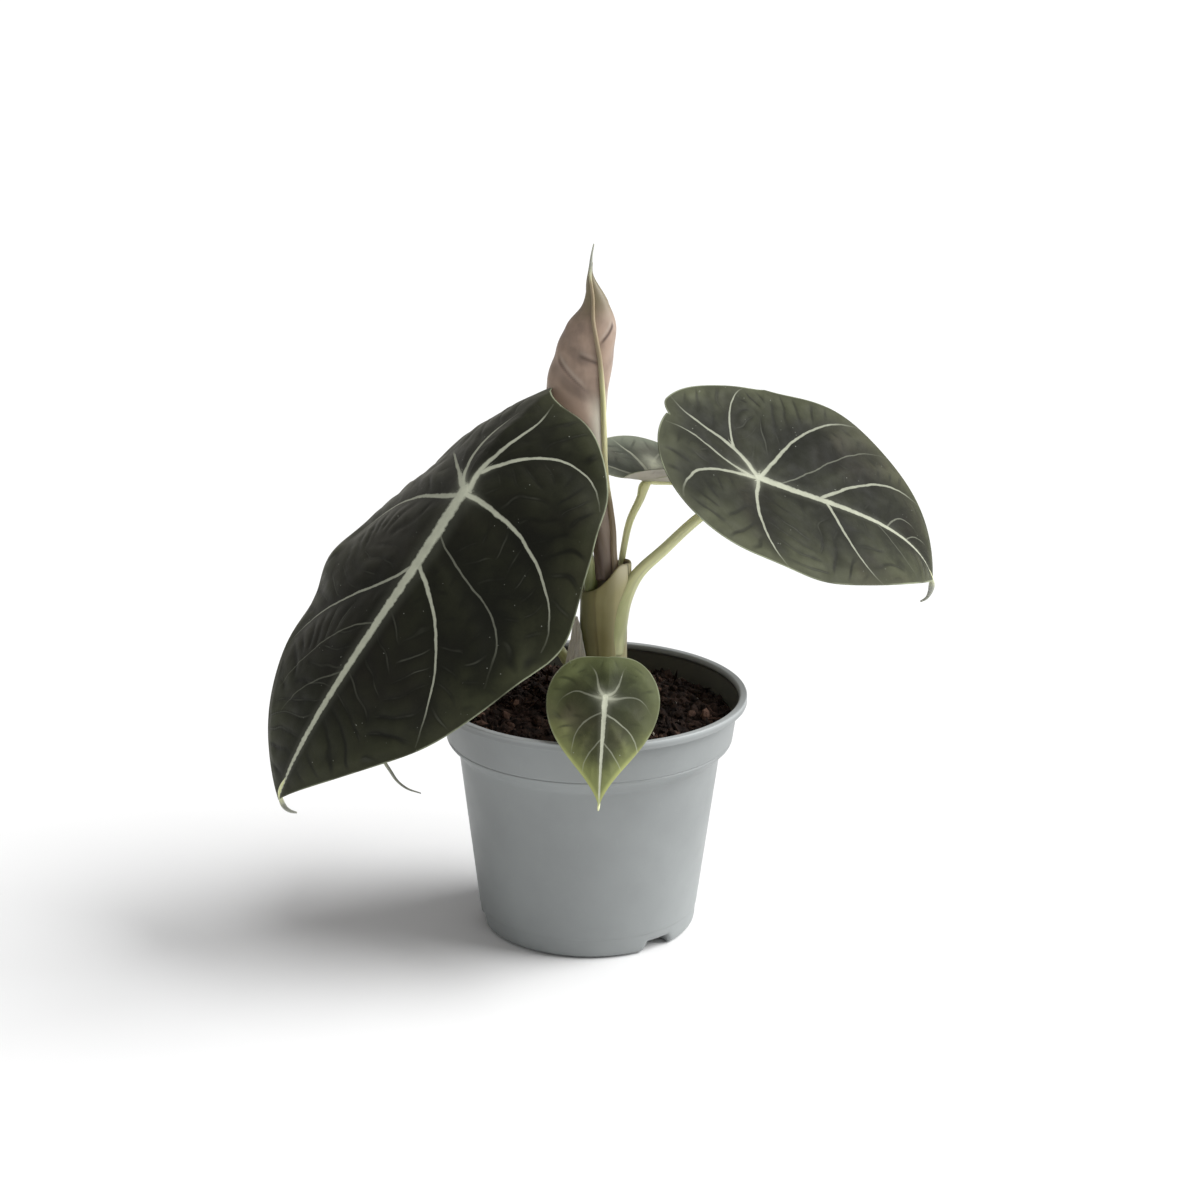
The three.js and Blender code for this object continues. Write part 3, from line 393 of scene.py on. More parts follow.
class StageSettings(bpy.types.PropertyGroup):
    """Floor, lights and camera."""

    floor: colour_prop("Floor", "Plain pale floor", (0.9, 0.9, 0.9))
    key: FloatProperty(
        name="Key light", description="Strength of the soft light on the right", default=4.35, min=0
    )
    key_height: FloatProperty(
        name="Key height", description="How high the key light stands", default=40 * DEG, subtype="ANGLE"
    )
    key_side: FloatProperty(
        name="Key side", description="How far behind the right the key light stands",
        default=5 * DEG, subtype="ANGLE",
    )
    softness: FloatProperty(
        name="Softness", description="Width of the key light in the sky", default=52 * DEG, subtype="ANGLE"
    )
    sky: FloatProperty(name="Sky", description="Strength of the light from all round", default=0.34, min=0)
    lens: FloatProperty(name="Lens", description="Focal length on a 36 mm sensor", default=90, min=10)
    distance: FloatProperty(
        name="Distance", description="From the camera to its target", default=1.134, min=0.1, unit="LENGTH"
    )
    pitch: FloatProperty(
        name="Pitch", description="How far the camera looks down", default=17.95 * DEG, subtype="ANGLE"
    )
    tilt: FloatProperty(name="Tilt", description="Roll of the camera", default=0.62 * DEG, subtype="ANGLE")


# ---- Meshes from arrays ----


def circle(sides):
    """Evenly spaced angles of a full turn."""
    return np.linspace(0, 2 * np.pi, sides, endpoint=False)


def unit(vectors):
    return vectors / np.maximum(np.linalg.norm(vectors, axis=-1), 1e-9)[..., None]


def bell(value):
    """1 at zero, and e to the minus value squared on both sides of it."""
    return np.exp(-(value**2))


def length_along(points):
    """Distance from the first point to each, along the straight pieces between them."""
    steps = np.linalg.norm(np.diff(points[:, :3], axis=0), axis=1)
    return np.concatenate([[0], np.cumsum(steps)])


def cubic(rows, slopes, row, t, span=1):
    """The cubic from one row to the next at t from 0 to 1, with the slopes that both rows have."""
    return (
        (2 * t**3 - 3 * t**2 + 1) * rows[row]
        + (t**3 - 2 * t**2 + t) * span * slopes[row]
        + (3 * t**2 - 2 * t**3) * rows[row + 1]
        + (t**3 - t**2) * span * slopes[row + 1]
    )


def smooth_path(stops, count):
    """A curve through the stops: cubic pieces over the length between stops, with matched slopes."""
    stops = np.asarray(stops, float)
    length = length_along(stops)
    at = np.linspace(0, length[-1], count)
    piece = np.clip(np.searchsorted(length, at, side="right") - 1, 0, len(length) - 2)
    span = (length[piece + 1] - length[piece])[:, None]
    return cubic(stops, np.gradient(stops, length, axis=0), piece, (at - length[piece])[:, None] / span, span)


def track(table, at):
    """Each column of a table along its row number: cubic pieces with the slopes between neighbours."""
    table = np.asarray(table, float)
    place = np.asarray(at, float) * (len(table) - 1)
    row = np.clip(place.astype(int), 0, len(table) - 2)
    return cubic(table, np.gradient(table, axis=0), row, (place - row)[..., None])


def smoothstep(low, high, value):
    t = np.clip((value - low) / (high - low), 0, 1)
    return t * t * (3 - 2 * t)


def grid_triangles(rows, columns, closed=False):
    """Two triangles for each cell of a rows by columns grid, whose columns may close on themselves."""
    last = columns if closed else columns - 1
    i, j = np.meshgrid(np.arange(rows - 1), np.arange(last), indexing="ij")
    i, j = i.ravel(), j.ravel()
    a, b = i * columns + j, i * columns + (j + 1) % columns
    c, d = a + columns, b + columns
    return np.concatenate([np.stack([a, b, d], 1), np.stack([a, d, c], 1)])


def make_piece(name, points, triangles, material, slot, nodes=(), **attributes):
    """A mesh object in the row's frame from points in millimetres. Attributes have a value per point."""
    mesh = bpy.data.meshes.new(name)
    mesh.vertices.add(len(points))
    mesh.vertices.foreach_set("co", (np.asarray(points) * MM).astype(np.float32).ravel())
    mesh.loops.add(triangles.size)
    mesh.loops.foreach_set("vertex_index", triangles.astype(np.int32).ravel())
    mesh.polygons.add(len(triangles))
    mesh.polygons.foreach_set("loop_start", np.arange(0, triangles.size, 3, dtype=np.int32))
    mesh.update(calc_edges=True)
    mesh.validate()
    mesh.shade_smooth()
    for key, values in attributes.items():
        values = np.asarray(values, np.float32)
        kind, item = ("FLOAT", "value") if values.ndim == 1 else ("FLOAT_VECTOR", "vector")
        mesh.attributes.new(key, kind, "POINT").data.foreach_set(item, values.ravel())
    mesh.materials.append(material)
    piece = bpy.data.objects.new(name, mesh)
    bpy.context.scene.collection.objects.link(piece)
    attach(piece, "root")
    if nodes:
        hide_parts(*nodes)
    return piece


def loft(rings):
    """Points and triangles of a body through rings of equal count, with a centre point in each end."""
    count, sides = rings.shape[:2]
    first, last, top = count * sides, count * sides + 1, (count - 1) * sides
    points = np.vstack([rings.reshape(-1, 3), rings[0].mean(0), rings[-1].mean(0)])
    side = np.arange(sides)
    following = (side + 1) % sides
    foot = np.stack([np.full(sides, first), following, side], 1)
    cap = np.stack([np.full(sides, last), top + side, top + following], 1)
    return points, np.concatenate([grid_triangles(count, sides, closed=True), foot, cap])


def closed_sheet(outer, inner):
    """Points and triangles of a thin sheet from its two faces' grids, which are joined all round."""
    along, across = outer.shape[:2]
    count = along * across
    cells = grid_triangles(along, across)
    index = np.arange(count).reshape(along, across)
    border = np.concatenate([index[0, :-1], index[:-1, -1], index[-1, :0:-1], index[:0:-1, 0]])
    following = np.roll(border, -1)
    strip = [
        np.stack([following, border, border + count], 1),
        np.stack([following, border + count, following + count], 1),
    ]
    points = np.vstack([outer.reshape(-1, 3), inner.reshape(-1, 3)])
    return points, np.concatenate([cells, cells[:, ::-1] + count, *strip])


def twice(values):
    """A grid's values for both faces of a sheet."""
    return np.tile(values.ravel(), 2)


def tube(path, sides):
    """A round tube along rows of x, y, z, radius. Its rings turn to the plane that fits the path best."""
    middle, radius = path[:, :3], path[:, 3:]
    along = unit(np.gradient(middle, axis=0))
    plane = np.linalg.svd(middle - middle.mean(0))[2][2]
    aside = unit(np.cross(along, plane))
    over = np.cross(along, aside)
    turn = circle(sides)
    across, up = (radius * np.cos(turn))[..., None], (radius * np.sin(turn))[..., None]
    return loft(middle[:, None] + across * aside[:, None] + up * over[:, None])


def value_noise(x, y, size, seed):
    """Random heights from -1 to 1 at the corners of squares of that size, blended by smooth steps."""
    table = np.random.default_rng(seed).uniform(-1, 1, (64, 64))
    u, v = x / size, y / size
    i, j = np.floor(u).astype(int), np.floor(v).astype(int)
    s, t = smoothstep(0, 1, u - i), smoothstep(0, 1, v - j)
    i, j, i2, j2 = i % 64, j % 64, (i + 1) % 64, (j + 1) % 64
    near = table[i, j] * (1 - s) + table[i2, j] * s
    far = table[i, j2] * (1 - s) + table[i2, j2] * s
    return near * (1 - t) + far * t


# ---- Materials ----


class Shader:
    """Builds one material's nodes. Each method adds a node and gives back its output socket."""

    def __init__(self, name, **sockets):
        self.material = bpy.data.materials.new(name)
        self.material.use_nodes = True
        self.nodes = self.material.node_tree.nodes
        self.links = self.material.node_tree.links
        self.surface = self.nodes["Principled BSDF"]
        self.set(self.surface, **sockets)

    def plug(self, socket, value):
        if isinstance(value, bpy.types.NodeSocket):
            self.links.new(value, socket)
        elif socket.type == "RGBA" and len(value) == 3:
            socket.default_value = (*value, 1)
        else:
            socket.default_value = value

    def set(self, node, **sockets):
        for key, value in sockets.items():
            self.plug(node.inputs[key.replace("_", " ")], value)
        return node

    def add(self, kind, **properties):
        node = self.nodes.new("ShaderNode" + kind)
        for key, value in properties.items():
            setattr(node, key, value)
        return node

    def attribute(self, name, output="Fac"):
        return self.add("Attribute", attribute_name=name).outputs[output]

    def place(self, scale=(1, 1, 1)):
        """Object coordinates, stretched by a Mapping node."""
        mapping = self.add("Mapping")
        self.links.new(self.add("TexCoord").outputs["Object"], mapping.inputs["Vector"])
        mapping.inputs["Scale"].default_value = scale
        return mapping.outputs["Vector"]

    def noise(self, scale, detail=4, roughness=0.55, at=None):
        vector = at or self.place()
        node = self.set(self.add("TexNoise"), Scale=scale, Detail=detail, Roughness=roughness, Vector=vector)
        return node.outputs["Fac"]

    def cells(self, scale):
        """Distance to the nearest of scattered points."""
        return self.set(self.add("TexVoronoi"), Scale=scale, Vector=self.place()).outputs["Distance"]

    def math(self, operation, a, b=0.0):
        node = self.add("Math", operation=operation)
        self.plug(node.inputs[0], a)
        self.plug(node.inputs[1], b)
        return node.outputs[0]

    def times(self, *factors):
        """The product of the factors."""
        product = factors[0]
        for factor in factors[1:]:
            product = self.math("MULTIPLY", product, factor)
        return product

    def drift(self, noise, amount):
        """A noise made to run about zero, times an amount."""
        return self.times(self.math("SUBTRACT", noise, 0.5), amount)

    def range(self, value, low, high, to_low=0.0, to_high=1.0):
        """A value moved smoothly from one range to another, and held at its ends."""
        node = self.add("MapRange", interpolation_type="SMOOTHSTEP")
        self.plug(node.inputs["Value"], value)
        for key, number in (("From Min", low), ("From Max", high), ("To Min", to_low), ("To Max", to_high)):
            node.inputs[key].default_value = number
        return node.outputs["Result"]

    def mix(self, share, first, second, blend="MIX"):
        node = self.add("Mix", data_type="RGBA", blend_type=blend)
        self.plug(node.inputs[0], share)
        self.plug(node.inputs[6], first)
        self.plug(node.inputs[7], second)
        return node.outputs[2]

    def tint(self, base, colour, *shares):
        """The base moved towards a colour by the product of the shares."""
        return self.mix(self.times(*shares), base, colour)

    def bump(self, height, strength, distance, under=None):
        node = self.set(self.add("Bump"), Height=height, Strength=strength, Distance=distance * MM)
        if under is not None:
            self.links.new(under, node.inputs["Normal"])
        return node.outputs["Normal"]

    def finish(self, base, roughness, normal=None):
        self.plug(self.surface.inputs["Base Color"], base)
        self.plug(self.surface.inputs["Roughness"], roughness)
        if normal is not None:
            self.links.new(normal, self.surface.inputs["Normal"])
        return self.material


def shade(rgb, factor):
    return tuple(min(1.0, c * factor) for c in rgb)


def soft_light(weight):
    """Sockets of a flesh that light soaks into, by nearly the same way in each colour."""
    return {"Subsurface_Weight": weight, "Subsurface_Scale": 0.002, "Subsurface_Radius": (1.0, 1.0, 0.7)}


def blade_material(name, top, under, pale, sheen, specular, tip=None):
    """
    Velvet leaf: mottled top, darker far in from the margin, with pale veins and margin, a paler mauve
    underside, nap and a soft sheen. It has painted shade in the hollows of the quilting and in the creases
    between the pillows, painted highlights on the puffs, and a pale hub patch brightened by painted light.
    """
    s = Shader(
        name, Sheen_Weight=sheen, Sheen_Roughness=0.4, Sheen_Tint=(0.92, 0.88, 0.74, 1),
        Specular_IOR_Level=specular,
    )
    face = s.mix(s.range(s.noise(48, 5, 0.6), 0.36, 0.66), shade(top, 0.6), shade(top, 1.35))
    warm = tuple(top[0] * k for k in (1.35, 1.0, 0.78))
    face = s.tint(face, warm, s.range(s.noise(21, 3), 0.46, 0.7), 0.4)
    face = s.tint(face, shade(top, 0.4), s.range(s.noise(34, 4, 0.65), 0.5, 0.66, 0, 0.75))
    if tip:
        ageing = s.math("ADD", s.attribute("age"), s.range(s.noise(95, 3), 0.3, 0.75, -0.3, 0.3))
        face = s.tint(face, tip, s.range(ageing, 0.1, 1.1, 0, 0.95))
    relief = s.attribute("relief")
    # Painted shade in the hollows of the quilting and a painted highlight on its puffs, both read from the
    # relief.
    face = s.tint(face, shade(top, 0.3), s.range(relief, -0.55, 0.25, 0.6, 0))
    face = s.tint(face, shade(top, 1.9), s.range(relief, 0.1, 0.7, 0, 0.45))
    rim = s.attribute("rim")
    face = s.mix(s.range(rim, 3, 24, 0, 0.92), face, (0.42, 0.42, 0.42), "MULTIPLY")
    face = s.tint(face, shade(top, 2.2), s.range(rim, 9, 1, 0, 0.3))

    turn, calm = s.math("PINGPONG", s.attribute("phase"), 0.5), s.attribute("calm")
    # Painted shade in the creases between the side veins' pillows.
    face = s.tint(face, shade(top, 0.25), s.range(turn, 0.17, 0.02, 0, 0.95), calm)
    side_vein = s.times(s.range(turn, 0.07, 0.02), calm)
    face = s.tint(face, pale, side_vein, s.range(s.noise(45, 3), 0.45, 0.7, 0, 0.11))

    wander, mid = s.drift(s.noise(430, 4, 0.65), 0.9), s.attribute("mid")
    middle = s.range(s.math("ADD", mid, wander), 1.28, 0.7)
    offset = s.math("ABSOLUTE", s.math("ADD", s.attribute("offset"), s.drift(s.noise(110, 2), 1.5)))
    lateral = s.range(s.math("ADD", s.math("DIVIDE", offset, s.attribute("width")), wander), 1.35, 0.6)
    beyond = s.range(s.math("SUBTRACT", s.attribute("apart"), offset), 1.6, 0.9)
    line = s.math("MAXIMUM", middle, s.times(lateral, beyond, s.attribute("tone")))
    vein_colour = s.mix(s.noise(260, 3), shade(pale, 0.72), shade(pale, 1.12))
    face = s.tint(face, vein_colour, s.math("MAXIMUM", s.range(mid, 3.5, 0.8, 0, 0.07), line))
    # The pale patch at the hub: partly the hub's own pale colour, partly painted light shining through the
    # blade, brighter than the veins.
    patchy = s.range(s.noise(190, 4, 0.6), 0.35, 0.62, 0.65, 1)
    face = s.tint(face, shade(pale, 1.6), s.attribute("glow"), patchy)
    speck, rare = s.range(s.cells(700), 0.2, 0.12), s.range(s.noise(330, 1), 0.665, 0.7)
    face = s.tint(face, (0.5, 0.52, 0.45), speck, rare, 0.35)

    back = s.mix(s.range(s.noise(60, 4), 0.3, 0.7), shade(under, 0.82), shade(under, 1.14))
    back = s.tint(back, (0.4, 0.41, 0.24), line, 0.85)
    base = s.mix(s.attribute("side"), back, face)
    edge = s.range(s.noise(50, 2), 0.38, 0.62, 0.12, 0.65)
    base = s.tint(base, (0.42, 0.46, 0.31), s.range(rim, 0.75, 0.2), edge)
    if tip:
        yellow = s.times(s.range(rim, 1.8, 0.3), s.range(s.attribute("age"), 0.45, 1))
        base = s.tint(base, shade(tip, 1.7), yellow, 0.6)
    nap = s.bump(s.noise(2600, 2), 0.3, 0.1)
    return s.finish(base, s.range(s.noise(180, 3), 0.2, 0.8, 0.5, 0.66), s.bump(s.cells(1500), 0.2, 0.1, nap))


def petiole_material(settings):
    """Pale, smooth petiole with green lengthwise stripes, greener at its foot, and a grey green tail."""
    s = Shader("petiole", Specular_IOR_Level=0.45, **soft_light(0.25))
    pale, grain = settings.petiole, s.attribute("grain", "Vector")
    stripes = s.noise(900, 3, 0.5, grain)
    base = s.mix(s.range(stripes, 0.35, 0.65), shade(pale, 0.86), shade(pale, 1.1))
    base = s.tint(base, (0.55, 0.6, 0.25), s.range(s.noise(620, 2, 0.5, grain), 0.47, 0.62), 0.55)
    base = s.tint(base, settings.olive, s.range(s.noise(120, 3), 0.45, 0.75), 0.08)
    base = s.tint(base, (0.15, 0.18, 0.05), s.attribute("foot"))
    base = s.tint(base, (0.24, 0.17, 0.115), s.attribute("brown"), 0.9)
    base = s.tint(base, (0.36, 0.37, 0.32), s.attribute("tail"))
    return s.finish(base, s.range(stripes, 0.2, 0.8, 0.36, 0.5), s.bump(stripes, 0.3, 0.15))


# ---- Leaf blades ----


def rear_reach(leaf):
    return max(leaf["left"]["lobe"], leaf["right"]["lobe"], leaf["notch"]) + 4


def by_half(leaf, y, key, item=...):
    """The left half's value where y is positive, and the right half's elsewhere; item picks one of a row."""
    left, right = (np.asarray(leaf[side][key])[item] for side in ("left", "right"))
    return np.where(y > 0, left, right)


def midrib_angles(leaf, x):
    """Pitch and yaw of the midrib at x: the steady bend times x, and the growing bend times x squared."""
    ahead, behind = np.maximum(x, 0), np.maximum(-x, 0)
    pitch = (
        leaf["rear_arch"][0] * behind + leaf["rear_arch"][1] * behind**2 / rear_reach(leaf)
        - leaf["arch"][0] * ahead - leaf["arch"][1] * ahead**2 / leaf["front"]
    )
    yaw = leaf["sweep"][0] * ahead + leaf["sweep"][1] * ahead**2 / leaf["front"] - leaf["rear_sweep"] * behind
    return pitch * PER_100, yaw * PER_100


def heading_of(pitch, yaw):
    return np.stack([np.cos(pitch) * np.cos(yaw), np.cos(pitch) * np.sin(yaw), np.sin(pitch)], -1)


def turned_by(heading, pitch, roll):
    """Roll about the midrib, then pitch down, then heading about the upright."""
    return np.array(
        Matrix.Rotation(heading * DEG, 3, "Z")
        @ Matrix.Rotation(pitch * DEG, 3, "Y")
        @ Matrix.Rotation(roll * DEG, 3, "X")
    )


def blade_point(leaf, x, y):
    """
    Where the points (x, y) of the flat blade lie on the bent blade. The midrib's place is the sum of
    its headings from the hub. Across it the half starts at its fold angle and bends by its curl, so
    its reach and drop are the sines and cosines of that angle, and the margin waves by a sine in x
    that grows with the square of the distance out.
    """
    reach = rear_reach(leaf)
    stations = np.linspace(-reach - 5, leaf["front"] + 5, 801)
    headings = heading_of(*midrib_angles(leaf, stations))
    steps = (headings[1:] + headings[:-1]) / 2 * (stations[1] - stations[0])
    line = np.vstack([np.zeros(3), np.cumsum(steps, axis=0)])
    line = line - [np.interp(0, stations, line[:, k]) for k in range(3)]
    middle = np.stack([np.interp(x, stations, line[:, k]) for k in range(3)], -1)

    pitch, yaw = midrib_angles(leaf, x)
    along = heading_of(pitch, yaw)
    level = np.stack([-np.sin(yaw), np.cos(yaw), np.zeros_like(yaw)], -1)
    twist = (leaf["twist"] * PER_100 * x)[..., None]
    left = level * np.cos(twist) + np.cross(along, level) * np.sin(twist)
    up = np.cross(along, left)

    out = np.abs(y)
    soft = np.sqrt(out**2 + BLADE["soft_fold"] ** 2) - BLADE["soft_fold"]
    rear = np.clip(-x / reach, 0, 1)
    front = np.maximum(x, 0) / leaf["front"]
    curl = by_half(leaf, y, "curl")
    curl = curl + by_half(leaf, y, "curl_rear") * rear + by_half(leaf, y, "curl_front") * front
    curl = np.where(np.abs(curl) < 1e-3, 1e-3, curl) * PER_100
    fold = by_half(leaf, y, "fold") * DEG + by_half(leaf, y, "fold_slope") * PER_100 * x
    across = (np.sin(fold + curl * out) - np.sin(fold)) / curl
    drop = (np.cos(fold) - np.cos(fold + curl * soft)) / curl
    turn = 2 * np.pi * x / by_half(leaf, y, "wave", 1)
    wave = by_half(leaf, y, "wave", 0) * np.sin(turn + by_half(leaf, y, "wave", 2) * DEG)
    wave = wave + by_half(leaf, y, "ripple", 0) * np.sin(2 * turn + by_half(leaf, y, "ripple", 1) * DEG)
    lift = wave * (out / by_half(leaf, y, "width")) ** 2 - drop
    place = middle + (np.sign(y) * across)[..., None] * left + lift[..., None] * up
    return place @ turned_by(leaf["heading"], leaf["pitch"], leaf["roll"]).T + np.array(leaf["hub"], float)


def blade_normal(leaf, x, y):
    """Upward normals from the points just beside each point."""
    step = BLADE["normal_step"]
    along = blade_point(leaf, x + step, y) - blade_point(leaf, x - step, y)
    left = blade_point(leaf, x, y + step) - blade_point(leaf, x, y - step)
    return unit(np.cross(along, left))


def bezier(points, t):
    """A cubic curve from its four control points."""
    a, b, c, d = np.asarray(points, float)
    t = np.asarray(t, float)[..., None]
    return (1 - t) ** 3 * a + 3 * (1 - t) ** 2 * t * b + 3 * (1 - t) * t**2 * c + t**3 * d


def margin(leaf, half_row, t, corner):
    """
    The half's margin from notch (0) to tip (3): round the lobe, out to the widest place, to the tip.
    A corner draws the lobe out beside the notch.
    """
    lobe, width, widest, shoulder = (half_row[k] for k in ("lobe", "width", "widest", "shoulder"))
    front, notch = leaf["front"], leaf["notch"]
    ahead = front - widest
    round_pull = 0.55  # makes a quarter of an ellipse
    arcs = [
        [(-notch, 0), (-(notch + lobe) / 2, 0.12 * shoulder), (-lobe, 0.45 * shoulder), (-lobe, shoulder)],
        [
            (-lobe, shoulder), (-lobe, shoulder + round_pull * (width - shoulder)),
            (widest - round_pull * (widest + lobe), width), (widest, width),
        ],
        [
            (widest, width), (widest + half_row["belly"] * ahead, width),
            (front - half_row["taper"] * ahead, half_row["tip_width"] * width), (front, 0),
        ],
    ]
    curves = np.stack([bezier(points, t - k) for k, points in enumerate(arcs)])
    line = curves[np.minimum(t.astype(int), 2), np.arange(len(t))]
    corner_at, spread = BLADE["corner"]
    line[:, 0] -= corner * bell((t - corner_at) / spread) * smoothstep(0, 0.15, t)
    return line


def vein_lines(name, leaf):
    """Each vein's samples on the flat blade, with half width and paleness. The midrib is first."""
    share = np.linspace(0, 1, BLADE["vein_samples"])
    ahead = leaf["front"] * share
    stations = np.linspace(0, 1, len(leaf["midrib"]))
    lines = [(np.stack([ahead, 0 * ahead], 1), np.interp(share, stations, leaf["midrib"]), 1 + 0 * share)]
    for root, end, tone, curve in VEINS[name]:
        fading = tone * (1 - 0.25 * share) * (1 - 0.9 * smoothstep(0.72, 1, share))
        lines.append((bezier(curve, share), end + (root - end) * (1 - share) ** 1.4, fading))
    return lines


def vein_map(name, leaf, x, y):
    """
    What the blade's points need to know of the veins: mid is the distance to the midrib over its half
    width. From the nearest lateral vein by its own half width: the signed offset across it, its half
    width there, its paleness and the distance. From the nearest main vein: the distance, how much
    further the next one is (less inside a bend, which would bunch the side veins), and the count of
    side veins so far along it, which lean forward with the distance out.
    """
    place = np.stack([x, y], 1)
    rows = np.arange(len(x))
    far = np.full(len(x), 1e3)
    found = {"share": far, "offset": far, "width": 0 * far + 1, "tone": 0 * far, "apart": far}
    nearest, second, phase, room = far, far, 0 * far, 0 * far
    steady, growing = BLADE["side_lean"]
    for item, (line, width, tone) in enumerate(vein_lines(name, leaf)):
        tangent = unit(np.gradient(line, axis=0))
        apart = np.hypot(x[:, None] - line[:, 0], y[:, None] - line[:, 1])

        def off_line(pick):
            """The distance, the signed distance across and the distance along, from the picked samples."""
            away = place - line[pick]
            across = tangent[pick, 0] * away[:, 1] - tangent[pick, 1] * away[:, 0]
            return apart[rows, pick], across, (away * tangent[pick]).sum(1)

        pick = (apart / width).argmin(1)
        gap, across, _ = off_line(pick)
        share = gap / width[pick]
        if item == 0:
            mid = np.minimum(share, 50)
        else:
            own = {"share": share, "offset": across, "width": width[pick], "tone": tone[pick], "apart": gap}
            closer = share < found["share"]
            found = {key: np.where(closer, own[key], found[key]) for key in found}
        if tone[0] > BLADE["main_vein"]:
            pick = apart.argmin(1)
            gap, across, ahead = off_line(pick)
            length = length_along(line)
            bend = np.gradient(np.unwrap(np.arctan2(tangent[:, 1], tangent[:, 0])), length)[pick]
            spread = 1 - bend * across
            along = length[pick] + ahead / np.maximum(spread, 0.35) - steady * gap - growing * gap**2
            count = along / leaf["spacing"] + BLADE["side_shift"] * item
            closer = gap < nearest
            phase = np.where(closer, count, phase)
            room = np.where(closer, smoothstep(0.35, 0.8, spread), room)
            second = np.where(closer, nearest, np.minimum(second, gap))
            nearest = np.minimum(nearest, gap)
    return mid, found, nearest, (second - nearest) * room, phase


def margins(leaf, t):
    """Both halves' margins on the flat blade, the left one first."""
    left, right = leaf.get("corner", (0, 0))
    return margin(leaf, leaf["left"], t, left), margin(leaf, leaf["right"], t, right) * (1, -1)


def blade_grid(leaf):
    """
    Both halves' grids from root to margin as one set of flat points, with the share v of the way out,
    and their triangles. The last rows crowd at the margin, where the two faces round into each other.
    """
    columns, rows = leaf["grid"]
    rounding, hub = BLADE["rounding"], BLADE["hub_share"]
    t = np.linspace(0, 3, columns + 1)
    crowded = 1 - rounding * np.array([0.6, 0.24, 0])
    v = np.concatenate([np.linspace(0, 1 - rounding, rows - 2), crowded])
    root = leaf["front"] * np.clip((t - hub) / (3 - hub), 0, 1)
    halves = []
    for rim in margins(leaf, t):
        x = root[:, None] * (1 - v) + rim[:, :1] * v
        halves.append(np.stack([x, rim[:, 1:] * v, np.broadcast_to(v, x.shape)], -1).reshape(-1, 3))
    points = np.concatenate(halves)
    places = np.round(points[:, :2], 3) + 0.0
    _, first, inverse = np.unique(places, axis=0, return_index=True, return_inverse=True)
    inverse = inverse.reshape(-1)
    cells = grid_triangles(len(t), len(v))
    triangles = np.concatenate([inverse[cells], inverse[cells[:, ::-1] + len(halves[0])]])
    a, b, c = triangles.T
    return points[first].T, triangles[(a != b) & (b != c) & (a != c)]


def distance_to_margin(leaf, x, y):
    """Distance of each flat point to the nearest of many points along both margins."""
    rim = np.concatenate(margins(leaf, np.linspace(0, 3, 500)))
    return np.sqrt(((x[:, None] - rim[:, 0]) ** 2 + (y[:, None] - rim[:, 1]) ** 2).min(1))


def blade_relief(name, leaf, settings, x, y):
    """
    How far the blade stands up, how far its ribs stand down, and the marks that its material reads. It
    stands up between main veins by the quilting height times one less a bell of the distance to the
    vein, and between side veins by a rounded sine of their count. Veins are grooves in the top.
    """
    mid, vein, nearest, clear, phase = vein_map(name, leaf, x, y)
    rim = distance_to_margin(leaf, x, y)
    inner = smoothstep(0, 5, rim)
    far = (x + 300, y + 300)
    phase = phase + 0.5 * value_noise(*far, 16, 11) + 0.12 * value_noise(*far, 5, 12)
    calm = smoothstep(1, 6, nearest) * smoothstep(0, 5, clear) * smoothstep(0.5, 5, rim)
    calm = calm * (0.7 + 0.3 * value_noise(*far, 12, 13))
    lumps = value_noise(*far, 9, 3) + 0.6 * value_noise(*far, 4.2, 5)
    quilt = (1 - bell(nearest / BLADE["quilt_reach"])) * (1 + 0.3 * lumps) - 0.5
    pillow = np.abs(np.sin(np.pi * phase)) ** 0.7 - 0.7
    share = np.minimum(mid, vein["share"])
    pale = np.where(mid < vein["share"], 1, vein["tone"])
    groove, rib = (
        deep * pale * bell(share / reach) * inner for deep, reach in (BLADE["groove"], BLADE["rib"])
    )
    relief = (settings.puff * quilt * inner + settings.pleat * pillow * calm) / MM - groove
    glow_x, glow_y, size, glow, spill = leaf["glow"]
    glow = glow * bell(np.hypot(x - glow_x, y - glow_y) / size)
    return relief, rib, {
        "mid": mid, "offset": vein["offset"], "width": vein["width"], "apart": vein["apart"],
        "tone": vein["tone"], "rim": rim, "relief": relief, "phase": phase, "calm": calm,
        "age": smoothstep(0.2, 1.0, x / leaf["front"] + 0.3 * (1 - np.minimum(rim / 8, 1))),
        "glow": glow * (spill + (1 - spill) * bell(nearest / 1.5)),
    }


def build_blade(name, leaf, settings, material):
    """A closed blade: a top and an underside on one grid, which thin and round over at the margin."""
    (x, y, v), triangles = blade_grid(leaf)
    relief, rib, marks = blade_relief(name, leaf, settings, x, y)
    thin, rounding = BLADE["rim_thickness"], BLADE["rounding"]
    wall = thin + (BLADE["thickness"] - thin) * smoothstep(0, BLADE["rim_zone"], marks["rim"])
    out = np.clip((v - 1 + rounding) / rounding, 0, 1)
    wall = wall * np.sqrt(np.clip(1 - out**2, 0, 1))
    place, normal = blade_point(leaf, x, y), blade_normal(leaf, x, y)
    top = place + normal * (wall / 2 + relief)[:, None]
    under = place - normal * (wall / 2 - relief + rib)[:, None]

    at_rim = v > 0.9999
    lower = np.arange(len(x)) + len(x)
    lower[at_rim] = np.flatnonzero(at_rim)
    faces = np.concatenate([triangles, lower[triangles[:, ::-1]]])
    used, packed = np.unique(faces, return_inverse=True)
    marks = {key: twice(values)[used] for key, values in marks.items()}
    marks["side"] = np.concatenate([np.ones(len(x)), at_rim])[used]
    points, faces = np.vstack([top, under])[used], packed.reshape(faces.shape)
    make_piece(name, points, faces, material, leaf["slot"], (name + "_blade",), **marks)


# ---- Petioles ----


